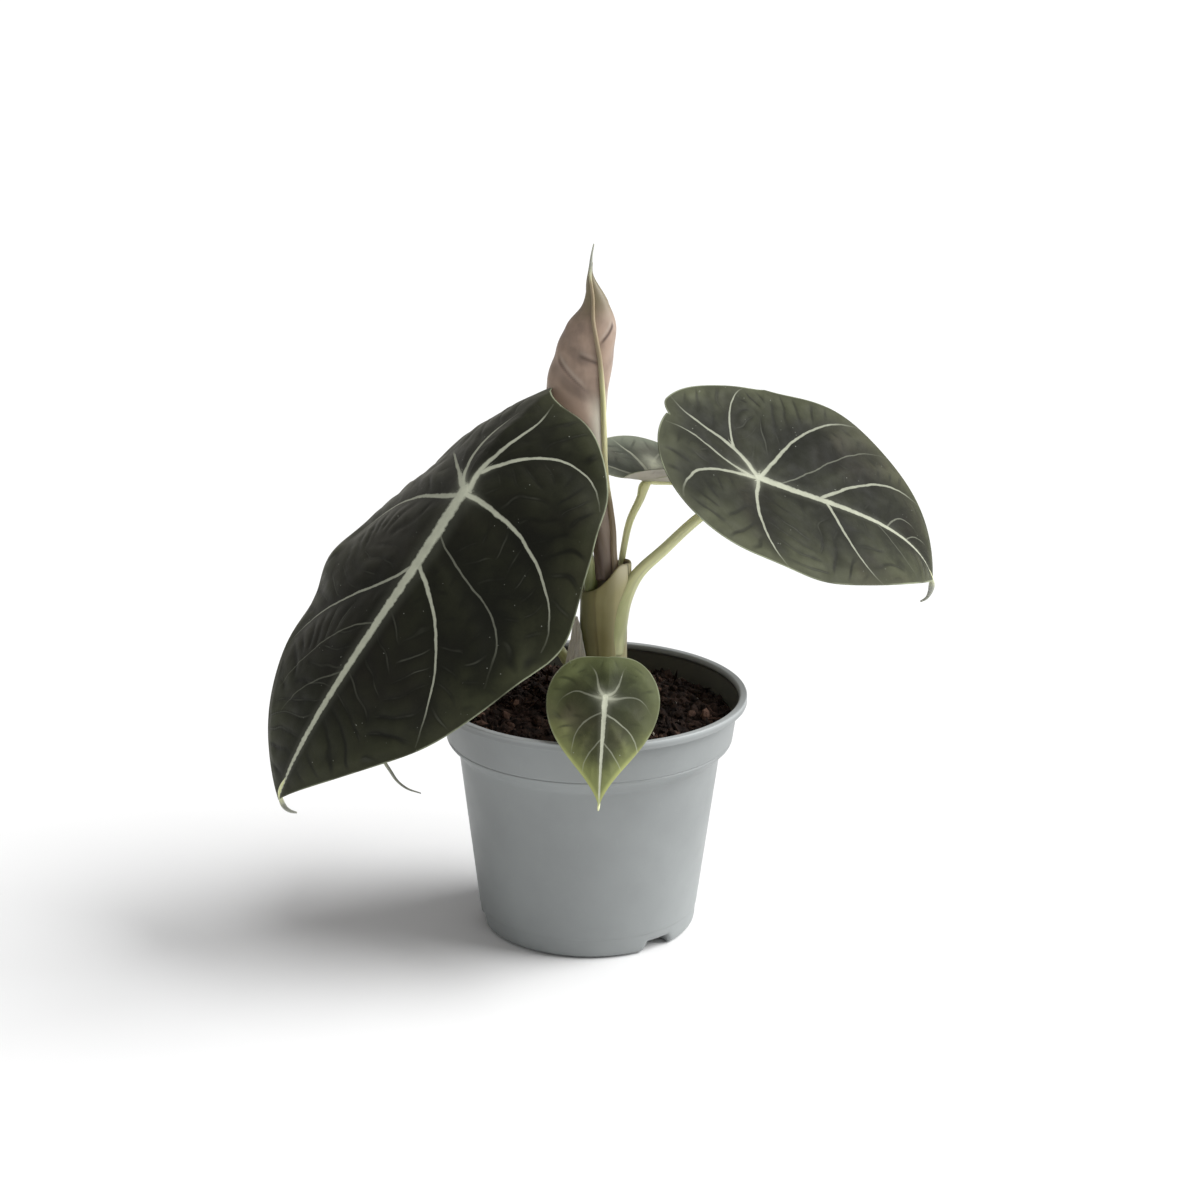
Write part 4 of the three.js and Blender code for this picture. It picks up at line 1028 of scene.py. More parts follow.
def rib_path(leaf):
    """Stops x, y, z, radius of the midrib's ridge under the blade, from the hub to the tip."""
    share = np.linspace(0, 1, 14) ** 1.4
    x = leaf["front"] * (0.015 + 0.975 * share)
    rib, end = leaf["rib"]
    radius = np.where(share == 0, leaf["neck"], rib + (end - rib) * share)
    below = BLADE["thickness"] / 2 + 1.05 * radius * np.minimum(1, 30 * (1 - share))
    place = blade_point(leaf, x, 0 * x) - blade_normal(leaf, x, 0 * x) * below[:, None]
    return np.column_stack([place, radius])


def petiole_path(leaf):
    """The petiole's own stops, a bend at the hub, the midrib under the blade, and the tail."""
    rib = rib_path(leaf)
    own, tail = np.array(leaf["petiole"], float), np.array(leaf["tail"], float)
    neck = leaf["neck"]
    bend = own[-1, :3] - rib[0, :3]
    bend = rib[0, :3] + bend * (2.8 * neck / np.linalg.norm(bend))
    bend = bend - blade_normal(leaf, np.zeros(1), np.zeros(1))[0] * 0.4 * neck
    path = np.vstack([own, [[*bend, (own[-1, 3] + neck) / 2]], rib, tail])
    return path, len(own), len(tail)


def build_petiole(name, node, stops, own, green, tail, material, brown=0):
    """
    A tube along the stops. Marks on it: foot fades out over its own free length, tail grows in over
    the last stops, and the grain runs round and along it so that stripes follow the tube. A brown one
    is brown at its foot and dusky towards its tip.
    """
    count, sides = PETIOLE_GRID
    length = length_along(stops)
    along = np.linspace(0, length[-1], count)
    points, triangles = tube(smooth_path(stops, count), sides)
    turn = np.tile(circle(sides), count)
    grain = np.stack([1.5 * np.cos(turn), 1.5 * np.sin(turn), 0.05 * np.repeat(along, sides)], 1) * MM

    def ringwise(values):
        values = np.repeat(values, sides)
        return np.concatenate([values, values[:1], values[-1:]])

    foot = green * smoothstep(length[own], 0.35 * length[own], along)
    past = smoothstep(length[-tail - 1] - 4, length[-tail] + 1, along) if tail else 0 * along
    share = along / length[-1]
    bark = np.maximum(smoothstep(0.36, 0.26, share), smoothstep(0.5, 0.7, share) * (1 - past))
    make_piece(
        name, points, triangles, material, "petiole", (node,), foot=ringwise(foot), tail=ringwise(past),
        brown=ringwise(brown * np.maximum(bark, 0.45)), grain=np.vstack([grain, grain[:1], grain[-1:]]),
    )


# ---- The rolled new leaf ----


def roll_point(s, u):
    """
    The roll's outer face at s across (-1 to 1, midrib at 0) and u along: an ellipse whose size,
    middle and wrap change with height, drawn in a little from one margin to the other.
    """
    z, x, y, wide, deep, wrap, azimuth = np.moveaxis(track(ROLL, u), -1, 0)
    turn = (azimuth + s * wrap) * DEG
    away = 1 - ROLL_SPIRAL * s * np.minimum(1, wrap / 180)
    return np.stack([x + wide * away * np.cos(turn), y + deep * away * np.sin(turn), z + 0 * s], -1)


def new_leaf_creases(s, u):
    """
    Relief of the rolled blade: side veins press out as soft ridges that climb from the midrib. Below
    each crease line the blade stands up by a step that dies away downwards. Painted shade lies along
    the line itself, with a painted highlight just above it.
    """
    out = np.abs(s)
    climb = u - ROLL_RIDGES["climb"] * out**1.3
    ridge = np.sin(2 * np.pi * climb * ROLL_RIDGES["count"])
    ridge = ridge * smoothstep(0.04, 0.2, out) * smoothstep(0.8, 0.6, u)
    relief, dark, bright = ROLL_RIDGES["height"] * ridge, 0 * s, 0 * s
    for from_s, from_u, to_s, to_u, height in NEW_CREASES:
        share = (s - from_s) / (to_s - from_s)
        below = from_u + (to_u - from_u) * share - u
        ends = smoothstep(-0.15, 0.2, share) * smoothstep(1.15, 0.8, share)
        step = smoothstep(-0.006, 0.01, below) * np.exp(-np.maximum(below, 0) / 0.05)
        relief = relief + ends * height * step
        dark = np.maximum(dark, ends * bell((below - 0.001) / 0.006))
        bright = np.maximum(bright, ends * height * bell((below + 0.014) / 0.008))
    return relief - 0.3, ridge, dark, bright


def build_new_leaf(material):
    """A closed sheet: the outer face with its relief, and an inner face on the roll's other side."""
    along, across = ROLL_GRID
    s, u = np.meshgrid(np.linspace(-1, 1, across), np.linspace(0, 1, along))
    skin = roll_point(s, u)
    normal = unit(np.cross(np.gradient(skin, axis=1), np.gradient(skin, axis=0)))
    relief, ridge, crease, bright = new_leaf_creases(s, u)
    room = smoothstep(1, 0.85, u) * smoothstep(1, 0.9, np.abs(s))
    half_wall = BLADE["thickness"] / 2
    edge = np.sqrt(np.clip(1 - np.abs(s) ** 40, 0.05, 1))
    outer = skin + normal * (half_wall + relief * room)[..., None]
    inner = skin - normal * (half_wall * edge)[..., None]
    points, triangles = closed_sheet(outer, inner)
    make_piece(
        "new_leaf", points, triangles, material, "rolled_blade", ("new_leaf_blade",),
        across=twice(s), along=twice(u), crease=twice(crease), bright=twice(bright), ridge=twice(ridge),
        side=np.repeat([1, 0], s.size),
    )


def new_petiole_path():
    """The new leaf's petiole, which goes on as the ridge of the midrib outside the roll, then its tail."""
    foot, neck, rib, end = NEW_PETIOLE["radii"]
    u = np.linspace(NEW_PETIOLE["from"], NEW_PETIOLE["to"], 18)
    at = NEW_PETIOLE["neck_at"]
    radius = np.where(u < at, foot + (neck - foot) * u / at, rib + (end - rib) * (u - at) / (1 - at))
    zero = np.zeros_like(u)
    side = roll_point(zero + 0.04, u) - roll_point(zero - 0.04, u)
    up = roll_point(zero, np.minimum(u + 0.01, 1)) - roll_point(zero, u - 0.01)
    out = unit(np.cross(side, up))
    ridge = roll_point(zero, u) + out * (BLADE["thickness"] / 2 + 0.35 * radius)[:, None]
    base = [(*place, foot) for place in NEW_PETIOLE["base"]]
    return np.vstack([base, np.column_stack([ridge, radius]), NEW_PETIOLE["tail"]])


def rolled_material(settings):
    """
    Mauve underside of the new leaf: cream beside the midrib low down, brown at the foot, a pale band
    where the outer margin lies, and an olive tip. Painted light lies on its right side and its lower
    left, painted shade between its ridges and along its creases with a painted highlight above each,
    and the brown foot is painted darker on its left and lighter on its right.
    """
    s = Shader("rolled_blade", Sheen_Weight=0.12, Sheen_Roughness=0.4, **soft_light(0.15))
    mauve, along, across = settings.rolled, s.attribute("along"), s.attribute("across")
    base = s.mix(s.range(s.noise(90, 4), 0.3, 0.7), shade(mauve, 0.75), shade(mauve, 1.25))
    streak = s.noise(700, 3, 0.5, s.place((1, 1, 0.12)))
    base = s.tint(base, shade(mauve, 1.35), s.range(streak, 0.35, 0.7), 0.2)
    # Painted light on the right side, where light shines through the thin roll.
    base = s.tint(base, (0.37, 0.34, 0.32), s.range(across, 0.05, 0.3), s.range(along, 0.62, 0.5, 0.12, 0.4))
    # A painted highlight on the lower left of the roll.
    lower_left_highlight = s.range(along, 0.56, 0.42, 0, 0.65)
    base = s.tint(base, shade(mauve, 1.5), s.range(across, -0.1, -0.4), lower_left_highlight)
    # Painted shade in the hollows between the side veins' ridges.
    between = s.range(s.attribute("ridge"), 0.3, -0.9)
    base = s.tint(base, shade(mauve, 0.5), between, s.range(s.noise(70, 2), 0.35, 0.6, 0.1, 0.6))
    beside = s.times(s.range(across, -0.26, -0.06), s.range(across, 0.65, 0.4))
    base = s.tint(base, (0.58, 0.55, 0.45), beside, s.range(along, 0.47, 0.36), 0.85)
    band = s.range(s.math("ABSOLUTE", s.math("ADD", across, 0.68)), 0.09, 0.02)
    height = s.times(s.range(along, 0.34, 0.42), s.range(along, 0.8, 0.66))
    base = s.tint(base, (0.42, 0.38, 0.24), band, height, 0.6)
    # The brown foot is the leaf's own colour; its darker left and lighter right are painted shade and painted
    # light.
    brown = s.mix(s.range(across, -0.75, -0.3), (0.09, 0.06, 0.04), (0.33, 0.26, 0.2))
    base = s.tint(base, brown, s.range(along, 0.27, 0.19))
    base = s.tint(base, (0.1, 0.065, 0.045), s.range(along, 0.12, 0.03, 0, 0.5))
    # A painted highlight above each crease, and painted shade along the crease itself.
    base = s.tint(base, (0.5, 0.44, 0.37), s.attribute("bright"), 0.6)
    base = s.tint(base, (0.07, 0.045, 0.035), s.attribute("crease"), 0.75)
    base = s.tint(base, (0.17, 0.145, 0.08), s.range(along, 0.66, 0.82, 0, 0.85))
    base = s.mix(s.attribute("side"), (0.035, 0.04, 0.026), base)
    return s.finish(base, 0.5, s.bump(s.noise(1800, 2), 0.2, 0.1))


# ---- Pseudostem and papery sheath ----


def stem_skin(turn, z, off):
    """Points round the pseudostem at each height, that far off its oval."""
    heights, *columns = np.array(STEM, float).T
    middle, wide, deep = (np.interp(z, heights, column) for column in columns)
    return np.stack([middle + (wide + off) * np.cos(turn), (deep + off) * np.sin(turn), z], -1)


def build_stem(material):
    """
    The clasped petiole bases as one wall that turns in at its slanting mouth, with a flap that stands
    up in a bell. Its outside swells at the sheaths' free edges, which are steps in radius that spiral
    down from the mouth.
    """
    rows, sides = STEM_GRID
    turn, mouth, foot = circle(sides), STEM_MOUTH, STEM[0][0]
    angle = np.degrees(np.arctan2(np.sin(turn), np.cos(turn)))
    flap = mouth["flap"] * bell((angle - mouth["flap_side"]) / mouth["flap_spread"])
    top = mouth["height"] + mouth["tilt"] * np.cos(turn - mouth["high_side"] * DEG) + flap
    z = foot + (top - 0.7 - foot) * np.linspace(0, 1, rows)[:, None]
    edge, split = (angle - row["side"] - row["lean"] * (row["height"] - z) for row in (STEM_EDGE, STEM_SPLIT))
    step = smoothstep(-2.5, 2.5, edge) * smoothstep(75, 20, edge) * smoothstep(92, 104, z)
    groove = bell(split / 7) * smoothstep(127, 136, z)
    ribs = 0.06 * np.sin(9 * turn + 1.3) + 0.04 * np.sin(17 * turn + 0.02 * z)
    swell = STEM_EDGE["step"] * step - STEM_SPLIT["step"] * groove + ribs * smoothstep(64, 80, z)
    drop, inset, follow, shadow, pale = np.array(STEM_RIM, float).T[:, :, None]
    bowl = stem_skin(turn, top - drop - flap * follow, swell[-1] - inset)
    points, triangles = loft(np.concatenate([stem_skin(turn, z, swell), bowl]))

    # around runs from 1 on the right, the side the key light is on, to -1 on the left; the material paints
    # shade by it.
    around, none = np.cos(turn + 0.2), np.zeros(bowl.shape[:2])
    cream = bell((angle - mouth["cream_side"]) / 30) * smoothstep(-11, -1, z - top)
    marks = {
        # on the wall, on the rim and bowl, at the two ends
        "around": (around + 0 * z, around + none, (1, 1)),
        "inside": (0 * z, shadow + none, (0, 1)),
        # dark is a painted shadow along the split between the front sheath and the right petiole's base.
        "dark": (bell(split / 4.5) * smoothstep(128, 140, z), none, (0, 0)),
        "line": (bell(edge / 3) * smoothstep(95, 110, z), none, (0, 0)),
        "cream": (cream, cream[-1:] * pale, (0, 0)),
    }
    marks = {key: np.append(np.concatenate([wall, rim]), ends) for key, (wall, rim, ends) in marks.items()}
    make_piece("pseudostem_sheaths", points, triangles, material, "stem", ("pseudostem",), **marks)


def stem_material(settings):
    """Olive clasped sheaths with lengthwise veins, a cream flap, brown edges and a shadowed inside."""
    s = Shader("stem", Specular_IOR_Level=0.4, **soft_light(0.15))
    fibres = s.range(s.noise(800, 4, 0.5, s.place((1, 1, 0.05))), 0.3, 0.72)
    base = s.mix(fibres, shade(settings.stem, 0.96), shade(settings.stem, 1.03))
    around, patches = s.attribute("around"), s.range(s.noise(60, 3, 0.5), 0.3, 0.75, 0.75, 1)
    # Olive and a dark green gather towards the left: partly the sheaths' own olive, partly painted shade on
    # the side turned from the key light.
    base = s.tint(base, settings.olive, patches, s.range(around, 0.95, 0.3, 0, 0.85))
    base = s.tint(base, (0.14, 0.15, 0.055), s.range(around, 0.1, -0.75, 0, 0.7))
    base = s.tint(base, (0.86, 0.8, 0.58), s.attribute("cream"), 0.85)
    base = s.tint(base, (0.2, 0.16, 0.07), s.attribute("line"), 0.15)
    # A painted shadow in the split between the front sheath and the right petiole's base.
    base = s.tint(base, (0.035, 0.022, 0.012), s.attribute("dark"), 0.9)
    base = s.tint(base, (0.15, 0.12, 0.065), s.attribute("inside"))
    dots = s.range(s.cells(330), 0.09, 0.05)
    base = s.tint(base, (0.07, 0.045, 0.025), dots, s.range(s.noise(140, 1), 0.6, 0.62))
    return s.finish(base, s.range(fibres, 0, 1, 0.42, 0.56), s.bump(fibres, 0.15, 0.2))


def build_sheath(material):
    """
    A thin sheet round the pseudostem: an arc offset from it, flared at one edge, with crinkles and a
    ragged top that rises to a rounded point near its right edge.
    """
    along, across = SHEATH_GRID
    w, h = np.meshgrid(np.linspace(0, 1, across), np.linspace(0, 1, along))
    foot, start, end = SHEATH["foot"], SHEATH["from"], SHEATH["to"]
    arc = np.sin(np.pi * (0.15 + 0.75 * w)) ** 0.8
    top = foot + SHEATH["shortest"] + (SHEATH["top"] - foot - SHEATH["shortest"]) * arc
    z = foot + (top + 0.8 * value_noise(w * 60, h * 3, 3.1, 21) * h - foot) * h
    crinkle = 0.28 * np.sin(w * 34 + 2 * h) + 0.3 * value_noise(w * 40, z, 5, 9)
    flare = SHEATH["flare"] * (1 - w) ** 1.5 * np.clip(1 - (z - foot) / 42, 0, 1)
    off = 0.9 + flare + crinkle * (0.3 + 0.7 * (1 - w))
    turn = (start + (end - start) * w) * DEG
    outer, inner = (stem_skin(turn, z, off + side * SHEATH["thickness"] / 2) for side in (1, -1))
    points, triangles = closed_sheet(outer, inner)
    make_piece(
        "papery_sheath", points, triangles, material, "papery_sheath", ("basal_sheath",), height=twice(h)
    )


def papery_material(settings):
    """Pale dry fibres with tan patches, and green at the foot."""
    s, pale = Shader("papery_sheath", **soft_light(0.25)), settings.papery
    fibres = s.range(s.noise(900, 4, 0.5, s.place((1, 1, 0.06))), 0.3, 0.7)
    base = s.mix(fibres, shade(pale, 0.8), shade(pale, 1.1))
    base = s.tint(base, (0.42, 0.3, 0.2), s.range(s.noise(130, 3), 0.5, 0.8, 0, 0.35))
    base = s.tint(base, (0.36, 0.38, 0.15), s.range(s.attribute("height"), 0.5, 0.1, 0, 0.8))
    return s.finish(base, 0.6, s.bump(fibres, 0.5, 0.25))


# ---- Pot ----


def rounded(corners, steps=6):
    """
    An outline through corners (r, z, round). Each corner is a quadratic curve that starts and ends
    that far from it.
    """
    points = []
    for place, (*here, size) in enumerate(corners):
        here = np.array(here, float)
        if size == 0:
            points.append(here[None])
            continue
        before = np.array(corners[place - 1][:2]) - here
        after = np.array(corners[(place + 1) % len(corners)][:2]) - here
        start, end = (here + way * min(size / np.linalg.norm(way), 0.5) for way in (before, after))
        t = np.linspace(0, 1, steps)[:, None]
        points.append((1 - t) ** 2 * start + 2 * (1 - t) * t * here + t**2 * end)
    return np.vstack(points)


def drain_lift(r, turn):
    """How far the foot is raised over the drain channels: an arch across each channel's width."""
    lift = np.zeros(np.broadcast_shapes(r.shape, turn.shape))
    for azimuth in DRAIN["azimuths"]:
        away = turn - azimuth * DEG
        side = np.abs(r * np.sin(away))
        ahead = r * np.cos(away)
        arch = smoothstep(DRAIN["width"] / 2 + 1.6, DRAIN["width"] / 2 - 0.4, side)
        lift = np.maximum(lift, arch * smoothstep(DRAIN["start"] - 0.5, DRAIN["start"] + 0.8, ahead))
    return lift * DRAIN["height"]


def build_pot(material):
    """The rounded outline turned about the upright, with its foot lifted over the drain channels."""
    height, wall, floor, foot = (POT[key] for key in ("height", "wall", "floor", "body_foot"))
    (band_foot, band_z), (body_top, body_z) = POT["band_foot"], POT["body_top"]
    lip, mouth, lip_foot = POT["lip_radius"], POT["mouth_radius"], height - POT["lip_height"]
    outside = rounded([
        (0, 0, 0), (20, 0, 0), (33, 0, 0), (foot - 0.5, 0, 3.4),
        # a faint step above the foot, then the body
        (foot + 0.15, 7.9, 0.3), (foot + 0.4, 8.3, 0.3), (body_top, body_z + 0.3, 1.0),
        # the slope out to the band, with a groove under the band's edge
        (band_foot - 0.5, band_z - 1.9, 0.9), (band_foot - 0.1, band_z - 0.8, 0.1),
        (band_foot - 0.35, band_z - 0.35, 0.1), (band_foot, band_z + 0.1, 0.1),
        # the band and the lip
        (POT["band_top"], lip_foot - 0.2, 0.7), (lip, lip_foot, 0.5),
        (lip, height, 0.7), (mouth, height, 0.5),
    ])
    inside = rounded([
        (mouth - 0.4, height - 1.6, 0.8), (band_foot - wall, band_z - 0.7, 1.4),
        (body_top - wall, body_z, 1.4), (foot - wall, POT["foot_height"], 1.4),
        (foot - wall - 2, floor, 1.6), (20, floor, 0), (0, floor, 0),
    ])
    longest, sides = 1.6, POT["sides"]
    outline = fill_outline(np.vstack([outside, inside]), longest)
    r, z = outline[1:-1, :1], outline[1:-1, 1:]
    turn = circle(sides)
    room = np.where(r > foot - 2.5, 1 - np.clip(z / 7.5, 0, 1), np.clip((9 - z) / 7, 0, 1))
    high = z + drain_lift(r, turn) * room
    points, triangles = loft(np.stack([r * np.cos(turn), r * np.sin(turn), high], -1))
    points[-2:] = [[0, 0, 0], [0, 0, floor]]
    inner_from = len(fill_outline(outside, longest)) + 1
    lining = np.arange(1, len(outline) - 1) > inner_from
    pot = make_piece(
        "nursery_pot", points, triangles, material, "pot", ("pot",),
        lining=np.append(np.repeat(lining, sides), [0, 1]),
        # lip marks the top of the rim, where the material paints a highlight.
        lip=smoothstep(height - 1.4, height - 0.5, points[:, 2]),
    )
    cut_drain_holes(pot)


def fill_outline(outline, longest):
    """The outline with its long straights split, so that no step is longer than the limit."""
    points = [outline[:1]]
    for a, b in zip(outline[:-1], outline[1:]):
        count = max(1, math.ceil(np.linalg.norm(b - a) / longest))
        points.append(a + (b - a) * np.linspace(0, 1, count + 1)[1:, None])
    return np.vstack(points)


def cut_drain_holes(pot):
    """A round hole through the roof of each drain channel."""
    away, radius, turn = DRAIN["hole_at"], DRAIN["hole"] / 2, circle(32)
    for azimuth in DRAIN["azimuths"]:
        x = away * math.cos(azimuth * DEG) + radius * np.cos(turn)
        y = away * math.sin(azimuth * DEG) + radius * np.sin(turn)
        points, triangles = loft(np.stack([np.stack([x, y, 0 * x + z], 1) for z in (-1, 10)]))
        mesh = bpy.data.meshes.new("hole")
        mesh.from_pydata((points * MM).tolist(), [], triangles.tolist())
        cutter = bpy.data.objects.new("hole", mesh)
        bpy.context.scene.collection.objects.link(cutter)
        cut = pot.modifiers.new("hole", "BOOLEAN")
        cut.operation, cut.solver, cut.object = "DIFFERENCE", "EXACT", cutter
        bpy.context.view_layer.objects.active = pot
        with bpy.context.temp_override(object=pot, active_object=pot):
            bpy.ops.object.modifier_apply(modifier=cut.name)
        bpy.data.objects.remove(cutter)
        bpy.data.meshes.remove(mesh)


def pot_material(settings):
    """Thin moulded plastic: cool grey with faint cloudy scuffs and a satin finish."""
    s, grey = Shader("pot", Specular_IOR_Level=0.42), settings.plastic
    base = s.mix(s.range(s.noise(26, 5, 0.6), 0.3, 0.72), shade(grey, 0.94), shade(grey, 1.05))
    scuff = s.noise(420, 5, 0.65, s.place((1, 1, 0.3)))
    base = s.tint(base, shade(grey, 1.3), s.range(scuff, 0.62, 0.74), 0.14)
    dust = s.times(s.range(s.cells(520), 0.07, 0.03), s.range(s.noise(200, 1), 0.6, 0.64))
    base = s.tint(base, shade(grey, 0.55), dust, 0.5)
    base = s.tint(base, settings.lining, s.attribute("lining"))
    # A painted highlight along the top of the lip, where the light from above falls.
    base = s.tint(base, shade(grey, 1.55), s.attribute("lip"), 0.7)
    rough = s.range(s.noise(60, 4), 0.3, 0.7, 0.4, 0.52)
    return s.finish(base, rough, s.bump(s.noise(900, 4, 0.6), 0.08, 0.15))


# ---- Soil ----


def soil_noise(x, y, size, seed):
    return value_noise(x + 200, y + 200, size, seed)


def soil_height(x, y):
    """A level that dips towards the wall, with clods, lumps and grit as three sizes of noise."""
    edge = np.hypot(x, y) / (POT["band_foot"][0] - POT["wall"])
    clods = 1.6 * soil_noise(x, y, 11, 31)
    lumps = 1.5 * np.abs(soil_noise(x, y, 4.3, 32)) + 0.9 * np.abs(soil_noise(x, y, 2.1, 33))
    rough = (clods + lumps + 0.35 * soil_noise(x, y, 0.9, 34)) * smoothstep(1.02, 0.9, edge)
    return SOIL["level"] - SOIL["edge_dip"] * edge**4 + rough


def pot_inside(z):
    """The radius at a height that stays a small gap inside the inner wall."""
    (band_foot, band_z), (body_top, body_z) = POT["band_foot"], POT["body_top"]
    foot, wall, gap = POT["body_foot"], POT["wall"], 0.35
    heights = [POT["floor"], POT["foot_height"], body_z, band_z, POT["height"]]
    radii = [foot - 3.6, foot, body_top, band_foot, POT["mouth_radius"] + wall]
    return np.interp(z, heights, radii) - wall - gap


def build_soil(settings, material):
    """The root ball: a turned body that follows the pot's inside, closed by the rough surface."""
    turn = circle(SOIL["around"])
    heights = np.array(SOIL["walls"])[:, None]
    radius = pot_inside(heights)
    walls = np.stack([radius * np.cos(turn), radius * np.sin(turn), heights + 0 * turn], -1)
    radius = (pot_inside(SOIL["level"] - 1) * np.linspace(1, 0.02, SOIL["rings"]))[:, None]
    x, y = radius * np.cos(turn), radius * np.sin(turn)
    points, triangles = loft(np.concatenate([walls, np.stack([x, y, soil_height(x, y)], -1)]))
    make_piece("soil_surface", points, triangles, material, "soil", ("soil",), tone=np.zeros(len(points)))
    build_crumbs(settings, material)


def turns_of(quaternions):
    """The turning matrix of each quaternion w, i, j, k."""
    w, i, j, k = unit(quaternions).T
    return np.array([
        [1 - 2 * (j * j + k * k), 2 * (i * j - k * w), 2 * (i * k + j * w)],
        [2 * (i * j + k * w), 1 - 2 * (i * i + k * k), 2 * (j * k - i * w)],
        [2 * (i * k - j * w), 2 * (j * k + i * w), 1 - 2 * (i * i + j * j)],
    ]).transpose(2, 0, 1)


def build_crumbs(settings, material):
    """
    Loose crumbs: small faceted lumps of random size, stretch and turn, sunk a little into the surface.
    One that would reach past the pot's wall is moved inwards by as much.
    """
    random, count, turn = np.random.default_rng(settings.seed), settings.crumbs, circle(6)
    girth, height = (np.array(CRUMB[key])[:, None] for key in ("girths", "heights"))
    blob, faces = loft(np.stack([girth * np.cos(turn), girth * np.sin(turn), height + 0 * turn], -1))
    blob[-2:] = [(0, 0, end) for end in CRUMB["ends"]]
    shapes = blob * random.uniform(*CRUMB["spread"], (count, len(blob), 1))
    size = CRUMB["smallest"] + CRUMB["growth"] * random.random(count) ** CRUMB["rarity"]
    stretch = random.uniform(*CRUMB["stretch"], (count, 3))
    fibre = random.random(count) < CRUMB["fibres"]
    stretch[fibre] = random.uniform(*CRUMB["fibre_stretch"], (fibre.sum(), 3))
    turns = turns_of(random.normal(size=(count, 4)))
    away = (pot_inside(SOIL["level"]) - CRUMB["from_wall"]) * np.sqrt(random.random(count))
    round_at = 2 * np.pi * random.random(count)
    outwards = np.stack([np.cos(round_at), np.sin(round_at)], 1)
    x, y = (away[:, None] * outwards).T
    place = np.stack([x, y, soil_height(x, y) + CRUMB["sunk"] * size], -1)
    local = np.einsum("nij,npj->npi", turns, shapes * stretch[:, None] * size[:, None, None])
    points = local + place[:, None]
    past_wall = np.hypot(points[..., 0], points[..., 1]) - pot_inside(points[..., 2])
    inward = 1.15 * np.maximum(past_wall.max(1), 0)
    points[..., :2] -= (inward[:, None] * outwards)[:, None]
    clear = np.hypot(x - CRUMB["stem_x"], y) > CRUMB["from_stem"]
    clumps = smoothstep(-0.35, 0.6, soil_noise(x, y, 8, 41))
    points, tone = points[clear], (random.random(count) ** 1.6 * clumps)[clear]
    tone[(random.random(len(tone)) < 0.04) & (size[clear] < 0.75)] = 1.6
    triangles = faces + np.arange(len(points))[:, None, None] * len(blob)
    crumbs = make_piece(
        "soil_crumbs", points.reshape(-1, 3), triangles.reshape(-1, 3), material, "soil",
        tone=np.repeat(tone, len(blob)),
    )
    crumbs.data.shade_flat()


def soil_material(settings):
    """Dark brown peat with reddish and tan crumbs; the tone attribute brightens single crumbs."""
    s = Shader("soil", Specular_IOR_Level=0.25)
    tone = s.attribute("tone")
    lump = s.range(s.noise(190, 6, 0.7), 0.38, 0.64)
    base = s.mix(lump, shade(settings.earth, 0.16), settings.earth)
    base = s.tint(base, (0.16, 0.09, 0.055), s.range(s.noise(620, 4, 0.6), 0.6, 0.72), 0.4)
    base = s.tint(base, (0.24, 0.14, 0.1), s.range(tone, 0.3, 1, 0, 0.8))
    base = s.tint(base, (0.55, 0.5, 0.42), s.range(tone, 1.2, 1.5))
    return s.finish(base, 0.92, s.bump(s.noise(1500, 5, 0.7), 0.8, 0.5))


# ---- Stage ----


def build_stage(settings):
    """A wide pale floor, a soft key light on the right, light from all round, and the camera."""
    scene = bpy.context.scene
    scene.view_settings.view_transform = "Standard"
    mesh = bpy.data.meshes.new("floor")
    corners = [(x * FLOOR_REACH, y * FLOOR_REACH, 0) for x, y in ((-1, -1), (1, -1), (1, 1), (-1, 1))]
    mesh.from_pydata(corners, [], [(0, 1, 2, 3)])
    floor = bpy.data.objects.new("floor", mesh)
    scene.collection.objects.link(floor)
    mesh.materials.append(Shader("floor", Specular_IOR_Level=0.1).finish(settings.floor, 0.9))

    scene.world = bpy.data.worlds.new("studio")
    scene.world.use_nodes = True
    sky = scene.world.node_tree.nodes["Background"]
    sky.inputs["Color"].default_value = (1, 1, 1, 1)
    sky.inputs["Strength"].default_value = settings.sky
    sun = bpy.data.lights.new("key", "SUN")
    sun.energy, sun.angle = settings.key, settings.softness
    lamp = bpy.data.objects.new("key", sun)
    scene.collection.objects.link(lamp)
    lamp.rotation_euler = (0, math.pi / 2 - settings.key_height, settings.key_side)

    pitch, tilt = settings.pitch, settings.tilt
    ahead = Vector((0, math.cos(pitch), -math.sin(pitch)))
    up = Vector((0, math.sin(pitch), math.cos(pitch)))
    right = Vector((1, 0, 0))
    across = math.cos(tilt) * right + math.sin(tilt) * up
    over = math.cos(tilt) * up - math.sin(tilt) * right
    data = bpy.data.cameras.new("camera")
    data.lens, data.sensor_width, data.clip_end = settings.lens, SENSOR, 100
    camera = bpy.data.objects.new("camera", data)
    scene.collection.objects.link(camera)
    turn = Matrix((across, over, -ahead)).transposed().to_4x4()
    place = Vector(CAMERA_TARGET) - ahead * settings.distance
    camera.matrix_world = Matrix.Translation(place) @ turn
    scene.camera = camera


# ---- Operators ----


class ALOCASIA_OT_pot(bpy.types.Operator):
    """Makes the nursery pot"""

    bl_idname = "alocasia.pot"
    bl_label = "Pot"

    def execute(self, context):
        build_pot(pot_material(context.scene.alocasia_pot))
        return {"FINISHED"}


class ALOCASIA_OT_soil(bpy.types.Operator):
    """Makes the soil and its crumbs"""

    bl_idname = "alocasia.soil"
    bl_label = "Soil"

    def execute(self, context):
        settings = context.scene.alocasia_pot
        build_soil(settings, soil_material(settings))
        return {"FINISHED"}


class ALOCASIA_OT_stem(bpy.types.Operator):
    """Makes the pseudostem and the papery sheath at its foot"""

    bl_idname = "alocasia.stem"
    bl_label = "Pseudostem"

    def execute(self, context):
        settings = context.scene.alocasia_stem
        build_stem(stem_material(settings))
        build_sheath(papery_material(settings))
        return {"FINISHED"}


